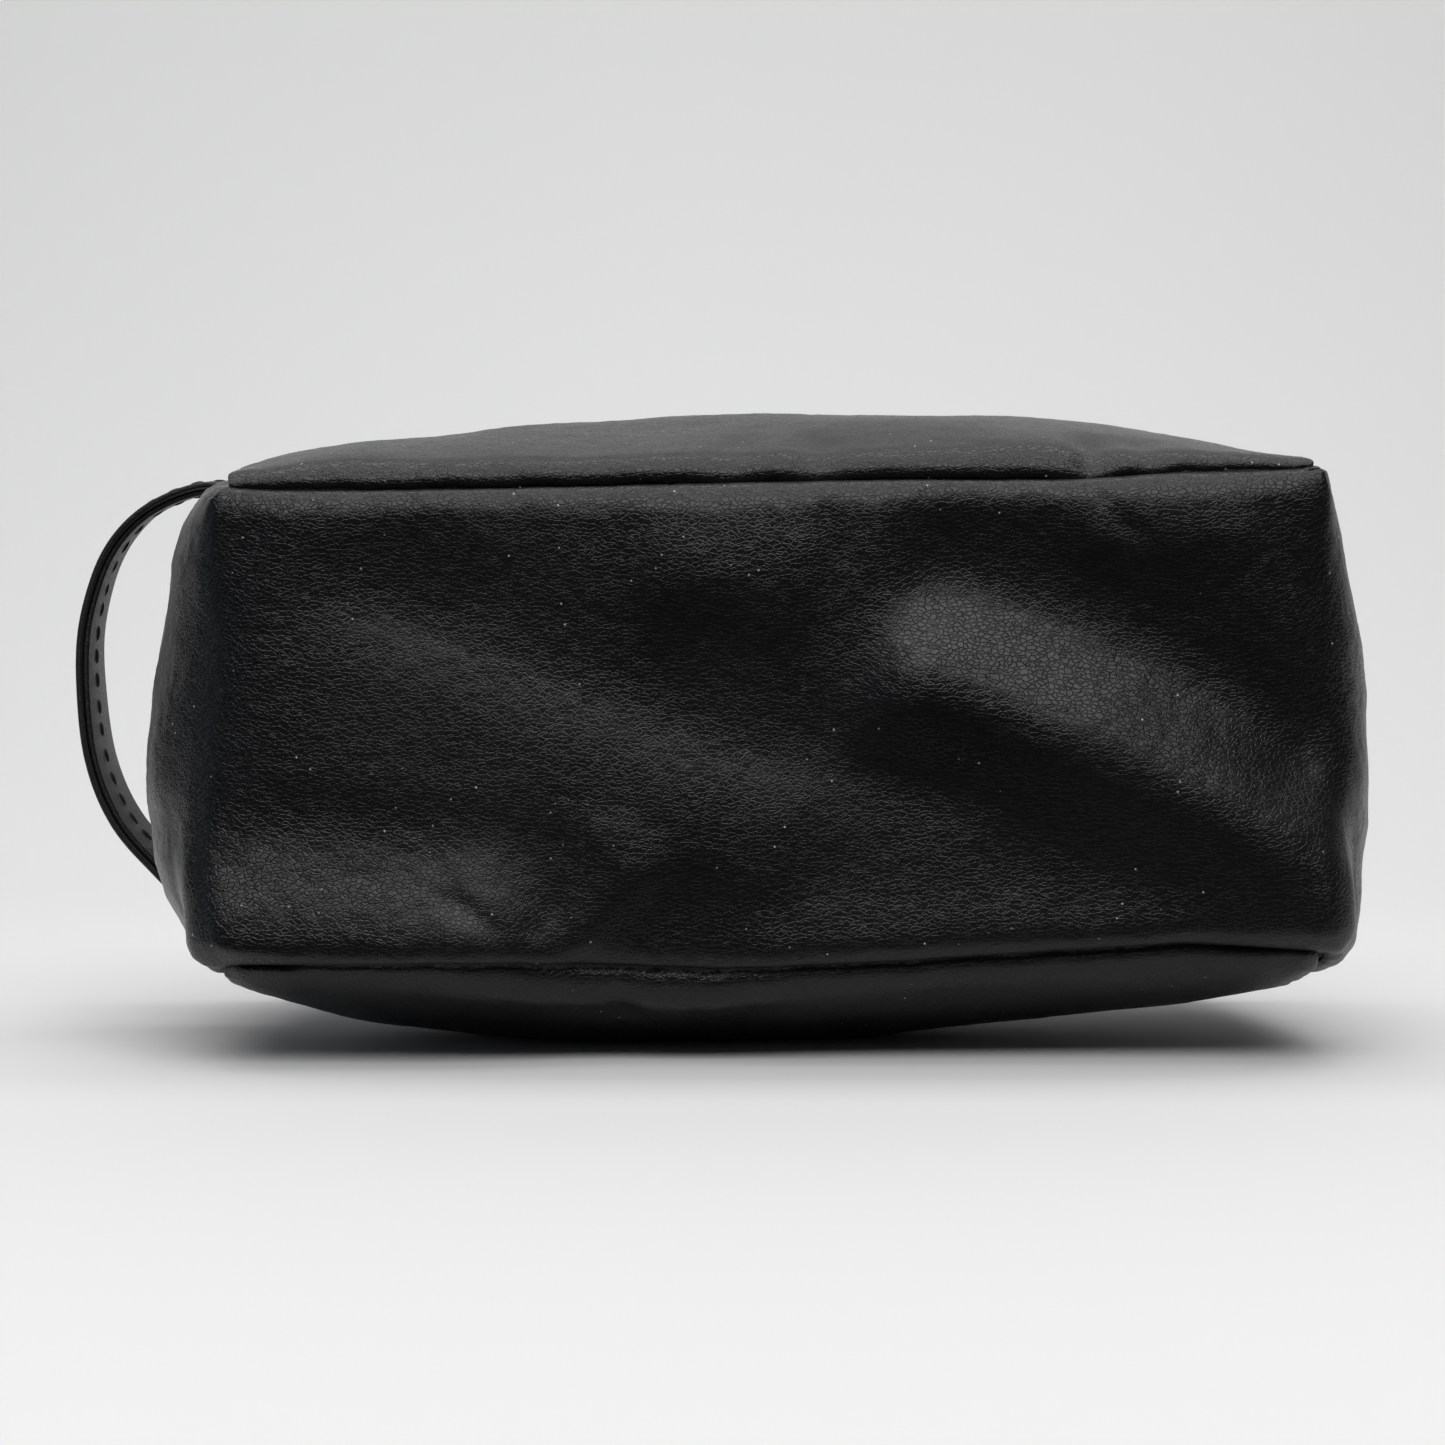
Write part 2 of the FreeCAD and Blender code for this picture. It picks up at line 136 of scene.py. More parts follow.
def small_bumps(a, b, seed, finer_seed):
    """The cloth's unevenness, up to about a tenth of a millimetre high."""
    return 0.07 * lattice_noise(a, b, 2.2, seed) + 0.05 * lattice_noise(a, b, 1.3, finer_seed)


def rolling(grid, sigma):
    """The grid smoothed along its first axis, with its ends held."""
    reach = int(3 * sigma) + 1
    kernel = np.exp(-0.5 * (np.arange(-reach, reach + 1) / sigma) ** 2)
    kernel /= kernel.sum()
    padded = np.concatenate([np.repeat(grid[:1], reach, 0), grid, np.repeat(grid[-1:], reach, 0)])
    out = np.zeros_like(grid)
    for k, weight in enumerate(kernel):
        out += weight * padded[k:k + len(grid)]
    return out


def normals_of(grid, outward):
    """Unit normals of a grid of points, turned to the side of the vector outward at its middle."""
    n = np.cross(np.gradient(grid, axis=0), np.gradient(grid, axis=1))
    n /= np.linalg.norm(n, axis=2, keepdims=True) + 1e-12
    middle = n[n.shape[0] // 2, n.shape[1] // 2]
    return n if middle @ np.array(outward) > 0 else -n


def spread(low, high, step, fine, margin):
    """Positions from low to high, fine apart within margin of each end and step apart between."""
    left = np.arange(low, low + margin, fine)
    right = np.arange(high, high - margin, -fine)[::-1]
    count = max(2, int((high - low - 2 * margin) / step))
    middle = np.linspace(low + margin, high - margin, count)
    return np.concatenate([left, middle, right[right > middle[-1] + 1e-6]])


def curve_through(line):
    """Catmull-Rom curve through a short list of points, as a function of 0 to 1."""
    pts = np.array(line, float)
    pts = np.vstack([2 * pts[0] - pts[1], pts, 2 * pts[-1] - pts[-2]])

    def at(s):
        s = np.asarray(s) * (len(pts) - 3)
        i = np.clip(np.floor(s).astype(int), 0, len(pts) - 4)
        f = (s - i)[:, None]
        p0, p1, p2, p3 = pts[i], pts[i + 1], pts[i + 2], pts[i + 3]
        return 0.5 * (2 * p1 + (p2 - p0) * f + (2 * p0 - 5 * p1 + 4 * p2 - p3) * f ** 2
                      + (3 * p1 - p0 - 3 * p2 + p3) * f ** 3)
    return at


X_WAY, Y_WAY, Z_WAY = np.eye(3)


def repeated(way, count):
    return np.tile(way, (count, 1))


def run_of(points):
    """Unit directions along a line of points."""
    run = np.gradient(points, axis=0)
    return run / np.linalg.norm(run, axis=1, keepdims=True)


# ---- meshes
def mesh_from(name, points, faces, material):
    mesh = bpy.data.meshes.new(name)
    mesh.from_pydata((np.asarray(points) * MM).tolist(), [], faces)
    mesh.validate()
    mesh.update()
    mesh.polygons.foreach_set("use_smooth", [True] * len(mesh.polygons))
    piece = bpy.data.objects.new(name, mesh)
    bpy.context.scene.collection.objects.link(piece)
    mesh.materials.append(material)
    return piece


def grid_faces(rows, cols, start=0, flip=False):
    i, j = np.meshgrid(np.arange(rows - 1), np.arange(cols - 1), indexing="ij")
    a = (start + i * cols + j).ravel()
    quads = np.stack([a, a + 1, a + cols + 1, a + cols], 1)
    return (quads[:, ::-1] if flip else quads).tolist()


def shell(name, outer, inner, material, outward):
    """A closed sheet between two grids of points of the same shape."""
    rows, cols, _ = outer.shape
    n = rows * cols
    mid_i, mid_j = rows // 2, cols // 2
    middle = outer[mid_i, mid_j]
    facing = np.cross(outer[mid_i + 1, mid_j] - middle, outer[mid_i, mid_j + 1] - middle)
    flip = bool(facing @ np.array(outward) > 0)
    faces = grid_faces(rows, cols, 0, flip) + grid_faces(rows, cols, n, not flip)
    rim = [i * cols for i in range(rows)] + [(rows - 1) * cols + j for j in range(1, cols)]
    rim += [i * cols + cols - 1 for i in range(rows - 2, -1, -1)] + [j for j in range(cols - 2, 0, -1)]
    for k, a in enumerate(rim):
        b = rim[(k + 1) % len(rim)]
        quad = [a, b, b + n, a + n]
        faces.append(quad if flip else quad[::-1])
    piece = mesh_from(name, np.concatenate([outer.reshape(-1, 3), inner.reshape(-1, 3)]), faces, material)
    for polygon in piece.data.polygons[-len(rim):]:
        polygon.use_smooth = False
    return piece


def tube_faces(rings, sides, start=0):
    """The sides and two ends of a tube whose rings of points follow each other from start on."""
    faces = []
    for i in range(rings - 1):
        for k in range(sides):
            a, b = start + i * sides + k, start + i * sides + (k + 1) % sides
            faces.append([a, b, b + sides, a + sides])
    faces.append([start + k for k in range(sides)][::-1])
    faces.append([start + (rings - 1) * sides + k for k in range(sides)])
    return faces


def swept(name, centres, sides, ups, section, material):
    """A closed tube: a section of (side, up) points carried along a line of centres."""
    section = np.array(section, float)
    points = centres[:, None, :] + sides[:, None, :] * section[:, :1] + ups[:, None, :] * section[:, 1:]
    return mesh_from(name, points.reshape(-1, 3), tube_faces(len(centres), len(section)), material)


def rounded_section(half_width, half_thick, corner, steps=4):
    """Points round a rectangle with rounded corners."""
    out = []
    for cx, cy, start in ((1, 1, 0), (-1, 1, 90), (-1, -1, 180), (1, -1, 270)):
        for k in range(steps + 1):
            a = math.radians(start + 90 * k / steps)
            out.append((cx * (half_width - corner) + corner * math.cos(a),
                        cy * (half_thick - corner) + corner * math.sin(a)))
    return out


def thread_run(name, centres, alongs, ups, length, radius, material):
    """Separate stitches: a short fat thread at each centre, its ends pulled down into the cloth."""
    rings, sides = 7, 6
    blunt_end, sunk_end = 0.12, 1.1
    points, faces = [], []
    for centre, along, up in zip(centres, alongs, ups):
        across = np.cross(along, up)
        faces += tube_faces(rings, sides, len(points))
        for i in range(rings):
            s = i / (rings - 1) * 2 - 1
            r = radius * math.sqrt(max(blunt_end, 1 - abs(s) ** 3))
            sink = -radius * sunk_end * abs(s) ** 3
            for k in range(sides):
                a = 2 * math.pi * k / sides
                points.append(centre + along * s * length / 2 + up * (sink + r * math.sin(a))
                              + across * r * math.cos(a))
    return mesh_from(name, points, faces, material)


# ---- attaching a piece to a body
def place(piece, body, slot_name, *nodes):
    """Lets a piece move with a body and hides the CAD nodes it stands for. Its slot_name is not used."""
    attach(piece, body)
    if nodes:
        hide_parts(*nodes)
    return piece


# ---- materials
class Look:
    """A material under construction: short names for adding and linking shader nodes."""

    def __init__(self, name):
        self.material = bpy.data.materials.new(name)
        self.material.use_nodes = True
        self.nodes = self.material.node_tree.nodes
        self.links = self.material.node_tree.links
        self.shader = self.nodes["Principled BSDF"]
        self.place = self.add("ShaderNodeTexCoord").outputs["Object"]

    def add(self, kind, **values):
        node = self.nodes.new(kind)
        for key, value in values.items():
            if hasattr(node, key):
                setattr(node, key, value)
            else:
                node.inputs[key.replace("_", " ")].default_value = value
        return node

    def link(self, a, b):
        self.links.new(a, b)

    def stretched(self, scale):
        mapping = self.add("ShaderNodeMapping")
        mapping.inputs["Scale"].default_value = scale
        self.link(self.place, mapping.inputs["Vector"])
        return mapping.outputs["Vector"]

    def noise(self, vector, scale, detail=2.0, rough=0.5):
        node = self.add("ShaderNodeTexNoise", Scale=scale, Detail=detail, Roughness=rough)
        self.link(vector, node.inputs["Vector"])
        return node.outputs["Fac"]

    def voronoi(self, vector, scale, feature="F1"):
        node = self.add("ShaderNodeTexVoronoi", feature=feature, Scale=scale)
        self.link(vector, node.inputs["Vector"])
        return node

    def remap(self, value, low, high, to_low, to_high):
        node = self.add("ShaderNodeMapRange", From_Min=low, From_Max=high, To_Min=to_low, To_Max=to_high)
        self.link(value, node.inputs["Value"])
        return node.outputs["Result"]

    def math(self, kind, a, b):
        node = self.add("ShaderNodeMath", operation=kind)
        for socket, value in zip(node.inputs, (a, b)):
            if isinstance(value, (int, float)):
                socket.default_value = value
            else:
                self.link(value, socket)
        return node.outputs[0]

    def mix(self, share, a, b):
        node = self.add("ShaderNodeMixRGB")
        self.link(share, node.inputs["Fac"])
        for socket, value in ((node.inputs["Color1"], a), (node.inputs["Color2"], b)):
            if isinstance(value, tuple):
                socket.default_value = (*value, 1)
            else:
                self.link(value, socket)
        return node.outputs["Color"]

    def bump(self, height, strength, distance, below=None):
        node = self.add("ShaderNodeBump", Strength=strength, Distance=distance)
        self.link(height, node.inputs["Height"])
        if below is not None:
            self.link(below, node.inputs["Normal"])
        return node.outputs["Normal"]

    def finish(self, colour=None, rough=None, normal=None):
        for value, name in ((colour, "Base Color"), (rough, "Roughness"), (normal, "Normal")):
            if value is not None:
                self.link(value, self.shader.inputs[name])
        return self.material


# about how many of each feature of the leather there are in a metre
WARPS, PEBBLES, WRINKLES, FINE_GRAINS = 420.0, 780.0, 260.0, 2600.0
CLOUDS, SPECKS, SPECK_CLUSTERS = 26.0, 300.0, 18.0
DUST_COLOUR = (0.5, 0.5, 0.47)


def leather(name, dark, light, rough, grain=1.0, dust=0.0):
    """Coated cloth: pebbles ringed by fine wrinkles, rougher hollows with painted shade in them, and dust. A
    grain above 1 is finer, and dust is about the share of the specks that show."""
    look = Look(name)
    flow = look.stretched((0.75, 1.0, 1.1))
    warp_noise = look.add("ShaderNodeTexNoise", Scale=WARPS * grain, Detail=2.0)
    look.link(flow, warp_noise.inputs["Vector"])
    warp = look.add("ShaderNodeVectorMath", operation="MULTIPLY_ADD")
    look.link(warp_noise.outputs["Color"], warp.inputs[0])
    warp.inputs[1].default_value = (0.0011, 0.0011, 0.0011)
    look.link(flow, warp.inputs[2])
    pebbles = look.voronoi(warp.outputs["Vector"], PEBBLES * grain, "DISTANCE_TO_EDGE")
    pebble_height = look.remap(pebbles.outputs["Distance"], 0.0, 0.15, 0.0, 1.0)
    wrinkles = look.noise(flow, WRINKLES * grain, 5.0, 0.62)
    fine = look.noise(flow, FINE_GRAINS * grain, 2.0)
    cloud = look.noise(look.place, CLOUDS, 3.0)
    height = look.math("ADD", pebble_height, look.math("MULTIPLY", wrinkles, 0.6))
    height = look.math("ADD", height, look.math("MULTIPLY", fine, 0.12))
    tone = look.mix(look.remap(cloud, 0.3, 0.7, 0.0, 1.0), dark, light)
    # painted shade: the colour goes darker, down to a fifth of the dark tone, in the hollows between the
    # pebbles
    tone = look.mix(look.remap(pebble_height, 0.0, 0.8, 0.85, 0.0), tone, tuple(c * 0.2 for c in dark))
    if dust:
        specks = look.voronoi(look.place, SPECKS)
        near = look.remap(specks.outputs["Distance"], 0.04, 0.08, 1.0, 0.0)
        chosen = look.math("GREATER_THAN", specks.outputs["Color"], 1.0 - dust)
        patch = look.remap(look.noise(look.place, SPECK_CLUSTERS, 1.0), 0.44, 0.52, 0.0, 1.0)
        shown = look.math("MULTIPLY", look.math("MULTIPLY", near, chosen), patch)
        tone = look.mix(shown, tone, DUST_COLOUR)
    dull = look.remap(cloud, 0.3, 0.7, rough - 0.04, rough + 0.05)
    roughness = look.math("ADD", dull, look.remap(pebble_height, 0.0, 1.0, 0.10, 0.0))
    look.shader.inputs["Specular IOR Level"].default_value = 0.42
    return look.finish(tone, roughness, look.bump(height, 0.33, 0.00028 / grain))


def weave(name, dark, light, pitch, rough=0.8, sheen=0.15):
    """Woven cloth: two crossing families of threads, pitch metres apart."""
    look = Look(name)
    wave_nodes = []
    for direction in ("X", "Z"):
        wave = look.add("ShaderNodeTexWave", wave_type="BANDS", bands_direction=direction,
                        Scale=math.pi / (10 * pitch), Distortion=0.6, Detail=1.0)
        wave.inputs["Detail Scale"].default_value = 2.0
        look.link(look.place, wave.inputs["Vector"])
        wave_nodes.append(wave.outputs["Fac"])
    threads = look.math("MULTIPLY", wave_nodes[0], wave_nodes[1])
    slub = look.noise(look.stretched((1.0, 3.0, 3.0)), 160.0, 3.0)
    tone = look.mix(look.remap(look.math("ADD", threads, slub), 0.4, 1.5, 0.0, 1.0), dark, light)
    look.shader.inputs["Sheen Weight"].default_value = sheen
    height = look.math("ADD", threads, look.math("MULTIPLY", slub, 0.4))
    return look.finish(tone, look.remap(slub, 0.3, 0.7, rough - 0.08, rough + 0.08),
                       look.bump(height, 0.6, pitch * 0.4))


def metal(name, colour):
    """Dark plated metal with fine rub marks and duller patches."""
    look = Look(name)
    rub = look.noise(look.stretched((1.0, 6.0, 6.0)), 900.0, 3.0)
    patch = look.noise(look.place, 240.0, 2.0)
    tone = look.mix(look.remap(patch, 0.3, 0.7, 0.0, 1.0), colour, tuple(c * 0.72 for c in colour))
    look.shader.inputs["Metallic"].default_value = 1.0
    return look.finish(tone, look.remap(look.math("ADD", rub, patch), 0.7, 1.3, 0.24, 0.42),
                       look.bump(rub, 0.12, 0.00004))


def foam_look(name, colour):
    look = Look(name)
    cells = look.voronoi(look.place, 1500.0).outputs["Distance"]
    tone = look.mix(look.remap(cells, 0.1, 0.7, 0.0, 1.0), tuple(c * 0.5 for c in colour), colour)
    return look.finish(tone, look.remap(cells, 0.0, 0.8, 0.95, 0.8), look.bump(cells, 0.7, 0.0003))


def board_look(name, colour):
    look = Look(name)
    fibres = look.noise(look.stretched((1.0, 1.0, 7.0)), 500.0, 5.0, 0.7)
    tone = look.mix(look.remap(fibres, 0.3, 0.7, 0.0, 1.0), tuple(c * 0.6 for c in colour), colour)
    return look.finish(tone, look.remap(fibres, 0.3, 0.7, 0.7, 0.85), look.bump(fibres, 0.4, 0.0002))


def studio_look(name, shade):
    look = Look(name)
    cloud = look.noise(look.place, 3.0, 2.0)
    tone = look.mix(look.remap(cloud, 0.3, 0.7, 0.0, 1.0), (shade, shade, shade), (shade * 0.99,) * 3)
    return look.finish(tone, look.remap(cloud, 0.3, 0.7, 0.85, 0.9))


CASING = leather("casing_leather", (0.0052, 0.0055, 0.0058), (0.0076, 0.008, 0.0083), 0.3, 1.4, 0.5)
STRAP = leather("strap_leather", (0.009, 0.0095, 0.01), (0.013, 0.0138, 0.014), 0.42, 1.35)
EDGE = leather("painted_edge", (0.008, 0.008, 0.009), (0.012, 0.012, 0.013), 0.36, 0.6)
LINING = weave("lining_cloth", (0.012, 0.012, 0.014), (0.03, 0.03, 0.033), 0.0005, 0.75)
BINDING = weave("binding_tape", (0.01, 0.01, 0.011), (0.028, 0.028, 0.03), 0.0008, 0.85)
TAPE = weave("zip_tape", (0.008, 0.008, 0.009), (0.022, 0.022, 0.024), 0.0006, 0.8)
THREAD = weave("black_thread", (0.006, 0.006, 0.007), (0.016, 0.016, 0.018), 0.0003, 0.6, 0.3)
TAG = weave("tag_cloth", (0.42, 0.42, 0.4), (0.62, 0.62, 0.59), 0.0004, 0.55)
GUNMETAL = metal("gunmetal", (0.30, 0.295, 0.29))
FOAM = foam_look("foam", (0.2, 0.2, 0.21))
BOARD = board_look("fibre_board", (0.05, 0.045, 0.04))


# ---- the bag's outline
def wall_half(side, x):
    """Half the bag's thickness half-way up, on one side."""
    run = np.where(x > PEAK_X[side], CORNER_X - PEAK_X[side], CORNER_X + PEAK_X[side])
    share = 1.0 - (np.abs(x - PEAK_X[side]) / run) ** SWELL_POWER[side]
    return END_HALF + (SWELL_HALF[side] - END_HALF) * share


def half_at(side, x, y):
    """Half the thickness at x and y: an arc through the base corner, the swell and the top corner."""
    ya, za, zb, yc, zc = BASE_Y, BASE_HALF, wall_half(side, x), WALL_TOP_Y, LIP_HALF
    a1, b1, c1 = 2 * ya, 2 * (za - zb), ya ** 2 + za ** 2 - zb ** 2
    a2, b2, c2 = 2 * yc, 2 * (zc - zb), yc ** 2 + zc ** 2 - zb ** 2
    det = a1 * b2 - a2 * b1
    cy, cz = (c1 * b2 - c2 * b1) / det, (a1 * c2 - a2 * c1) / det
    radius = np.hypot(cy, zb - cz)
    return cz + np.sqrt(np.maximum(radius ** 2 - (y - cy) ** 2, 0.0))


def seam_line(side, x):
    return np.interp(x, SEAM_X, SEAM_LINE[side])


def edge_height(side, x, y):
    """Height of a wall or of the gusset's edge above the middle plane, with the seam's wander."""
    fade = (1 - np.clip((y - BASE_Y) / DEPTH, 0, 1)) ** WANDER_FADE
    wander = seam_line(side, x) - side * BASE_HALF
    return side * half_at(side, x, y) + wander * fade


def roll(distance, radius):
    """A quarter turn of the cloth: 1 at an edge and 0 from radius on."""
    d = np.clip(distance / radius, 0, 1)
    return 1 - np.sqrt(1 - (1 - d) ** 2)


# how deep each seam pulls the cloth in: a wide shallow turn and a tight one at the stitches
WIDE_TUCK = {FRONT: 4.2, REAR: 2.6}
WIDE_REACH = {FRONT: 9.0, REAR: 7.0}
TIGHT_TUCK, TIGHT_REACH = 2.0, 2.6
TUCK_IN, TUCK_ASIDE = 0.85, 0.45
END_SHARE = 0.35        # of the wide turn, at the end seams
GATHER_DEPTH = 7.0      # how far the gathers run in from a seam


def tuck(distance, side, share=1.0):
    """How far the cloth is pulled in near a seam of one side of the bag, with a share of the wide turn."""
    wide = share * np.clip(1 - distance / WIDE_REACH[side], 0, 1) ** 2
    return WIDE_TUCK[side] * wide + TIGHT_TUCK * roll(distance, TIGHT_REACH)


def puckers(along, distance, seed, height=0.35):
    """Small gathers that run in from a seam and die out."""
    gathers = lattice_noise(along, distance * 0.15, 5.5, seed)
    gathers = gathers + 0.6 * lattice_noise(along, distance * 0.2, 2.8, seed + 1)
    return height * gathers * np.exp(-distance / GATHER_DEPTH)


# ---- folds of the base panel
# Each fold: its line of (x, height above the middle plane), how far it stands out (or in, below 0),
# its widths above and below the line, and the length over which its ends die out.
BASE_FOLDS = [
    # the long ridge that runs down to the right, and the hollow above it
    ([(13, 11), (29, 6), (46, 0), (62, -6), (76, -13), (90, -21), (126, -42)], 4.8, 12, 12, 17),
    ([(18, 34), (40, 28), (60, 21), (78, 12), (92, 2), (112, -16)], -3.0, 14, 10, 18),
    # the broad slope on the left and the hollow that bounds it
    ([(-150, -8), (-112, -8), (-82, -8), (-56, -12), (-30, -18), (-4, -26), (12, -32)], 1.4, 24, 9, 18),
    ([(-96, 30), (-66, 22), (-42, 12), (-20, 3), (2, -4), (24, -8), (52, -12)], -1.5, 15, 9, 22),
    # the pushed-out lower left corner and the flat facet beside it
    ([(-150, -36), (-112, -41), (-90, -44), (-70, -45), (-52, -45), (-38, -44)], 7.6, 19, 6, 20),
    ([(-50, -54), (-36, -39), (-19, -21)], 2.4, 14, 5, 12),
    # along the seams
    ([(-14, -48), (20, -43), (55, -41), (90, -40), (118, -40)], 1.8, 10, 4, 14),
    ([(-30, 31), (-8, 29), (14, 27)], 1.9, 13, 11, 12),
    ([(54, 36), (76, 39), (98, 37)], 1.1, 9, 8, 10),
]
FOLD_PIECES = 24
# Each crease of the base panel: its line, its width and its depth.
BASE_CREASES = [
    ([(-66, -31), (-56, -36), (-50, -42), (-48, -47)], 2.6, 0.8),
    ([(-38, -30), (-44, -38), (-46, -45)], 2.8, 0.4),
    ([(9, 47), (11, 38), (14, 28)], 2.5, 0.35),
    ([(60, 49), (66, 40), (74, 34)], 2.5, 0.5),
]
# Each crease of the front wall beside the base seam: its place along X, its lean and its depth.
FRONT_WALL_CREASES = [(-8, 3, 0.8), (12, -4, 1.0), (61, 3, 2.0), (75, -4, 1.1)]


def near_line(x, z, line, above, below, fade):
    """1 on a curved line, falling off over above and below to its two sides and over fade at its ends."""
    points = curve_through(line)(np.linspace(0, 1, FOLD_PIECES + 1))
    steps = np.diff(points, axis=0)
    lengths = np.linalg.norm(steps, axis=1)
    starts = np.concatenate([[0.0], np.cumsum(lengths)])
    nearest = np.full(x.shape, 1e9)
    along = np.zeros_like(x)
    upper = np.zeros(x.shape, bool)
    for (px, pz), (dx, dz), length, start in zip(points, steps, lengths, starts):
        share = np.clip(((x - px) * dx + (z - pz) * dz) / length ** 2, 0, 1)
        ox, oz = x - px - share * dx, z - pz - share * dz
        far = ox ** 2 + oz ** 2
        closer = far < nearest
        nearest = np.where(closer, far, nearest)
        along = np.where(closer, start + share * length, along)
        upper = np.where(closer, dx * oz - dz * ox > 0, upper)
    ends = smooth(along / fade) * smooth((starts[-1] - along) / fade)
    return np.exp(-nearest / np.where(upper, above, below) ** 2) * ends


def base_folds(x, z):
    height = sum(high * near_line(x, z, line, *widths) for line, high, *widths in BASE_FOLDS)
    return height + 0.35 * lattice_noise(x, z, 21.0, 3) + 0.12 * lattice_noise(x, z, 9.0, 4)


def crease(x, z, line, width, depth):
    """A valley along a line, fading out at both of its ends."""
    return -depth * near_line(x, z, line, width, width, 0.35 * math.dist(line[0], line[-1]))


# ---- gusset strip
RETURN = CORNER_X - LIP_X           # the strip's turned ends on the top
STRIP_END = CORNER_X + DEPTH + RETURN
STRIP_ROWS = 821
SHARP_TURN, SOFT_TURN = 1.6, 13.0   # how far its corners are rounded, at the seams and between them


def strip_surface():
    """The strip's smooth outer face: rows run along it from the left return to the right one."""
    s = np.linspace(-STRIP_END, STRIP_END, STRIP_ROWS)
    t = np.concatenate([[-1.0], spread(-0.999, 0.999, 0.0155, 0.0075, 0.09), [1.0]])
    run = np.abs(s)
    hand = np.sign(s)
    x = np.where(run < CORNER_X, s, hand * CORNER_X)
    x = np.where(run > CORNER_X + DEPTH, hand * (CORNER_X - (run - CORNER_X - DEPTH)), x)
    y = BASE_Y + np.clip(run - CORNER_X, 0, DEPTH)
    rise = np.interp((y - BASE_Y) / DEPTH, RISE_AT, RISE)
    reach = np.where(run < CORNER_X, (run / CORNER_X) ** 5, 1.0)
    reach = reach * np.clip((STRIP_END - run) / RETURN, 0, 1) ** 0.5
    across = np.where(s[:, None] < 0, LEFT_BULGE * np.interp(t, *LEFT_ACROSS)[None, :],
                      RIGHT_BULGE * np.interp(t, *RIGHT_ACROSS)[None, :])
    inner_x = np.clip(x, -CORNER_X, CORNER_X)
    front = edge_height(FRONT, inner_x, y)
    rear = edge_height(REAR, inner_x, y)
    grid = np.empty((len(s), len(t), 3))
    grid[:, :, 0] = x[:, None] + (hand * rise * reach)[:, None] * across
    grid[:, :, 1] = y[:, None]
    grid[:, :, 2] = MID_Z + ((front + rear) / 2)[:, None] + t[None, :] * ((front - rear) / 2)[:, None]
    step = s[1] - s[0]
    sharp, soft = rolling(grid, SHARP_TURN / step), rolling(grid, SOFT_TURN / step)
    soften = (1 - np.abs(t) ** 2.5)[None, :, None]
    # the returns stay crisp where they turn onto the top
    soften = soften * (1 - 0.85 * smooth((run - CORNER_X - 0.6 * DEPTH) / (0.3 * DEPTH)))[:, None, None]
    return s, t, sharp * (1 - soften) + soft * soften


def strip_relief(s, t, grid, normal):
    """Folds, gathers and the rolled seam edges."""
    along = np.repeat(s[:, None], len(t), 1)
    height = grid[:, :, 2] - MID_Z
    on_base = 1 - smooth((np.abs(along) - CORNER_X + 6) / 14)
    before_return = STRIP_END - RETURN - np.abs(along)
    edge = (1 - np.abs(t))[None, :] * (grid[:, -1, 2] - grid[:, 0, 2])[:, None] / 2

    def nearer_seam(made):
        """made(side) with the side of the nearer seam."""
        return np.where((t > 0)[None, :], made(FRONT), made(REAR))

    folds = rolling(rolling(base_folds(along, height), 2.0).T, 1.0).T * on_base
    for line, width, depth in BASE_CREASES:
        folds += crease(along, height, line, width, depth)
    end_folds = 0.7 * lattice_noise(along, height, 34, 11) + 0.4 * lattice_noise(along, height * 1.6, 15, 12)
    folds += end_folds * (1 - on_base) * smooth(before_return / 20)
    folds += nearer_seam(lambda side: puckers(along, edge, PUCKER_SEED[side])) * smooth(before_return / 8)
    folds += small_bumps(along, height, 31, 32)
    out = grid + normal * folds[:, :, None]
    share = END_SHARE + (1 - END_SHARE) * on_base
    turn = nearer_seam(lambda side: tuck(edge, side, share)) * smooth(before_return / 6)
    inward = -TUCK_IN * normal
    inward[:, :, 2] -= TUCK_ASIDE * np.sign(t)[None, :]
    return out + inward * turn[:, :, None]


def under_strip(strip, depth):
    """The strip's surface moved in by depth, its corners rounded as a layer inside turns them."""
    s, _, grid, normal = strip
    return rolling(grid - normal * depth, 5.0 / (s[1] - s[0]))


def make_gusset():
    s, t, grid = strip_surface()
    normal = normals_of(grid, (0, -1, 0))
    outer = strip_relief(s, t, grid, normal)
    inner = outer - normal * SKIN
    piece = shell("gusset_leather", outer, inner, CASING, (0, -1, 0))
    place(piece, "bag_body", "casing_leather", "base_and_end_gusset")
    return s, t, grid, normal


# ---- walls
def wall_surface(side):
    x = spread(-CORNER_X, CORNER_X, 1.3, 0.5, 7.0)
    y = BASE_Y + spread(0.0, WALL_TOP_Y - BASE_Y, 1.3, 0.5, 9.0)
    gx, gy = np.meshgrid(x, y, indexing="ij")
    gz = MID_Z + edge_height(side, gx, gy)
    grid = np.stack([gx, gy, gz], 2)
    return x, y, grid


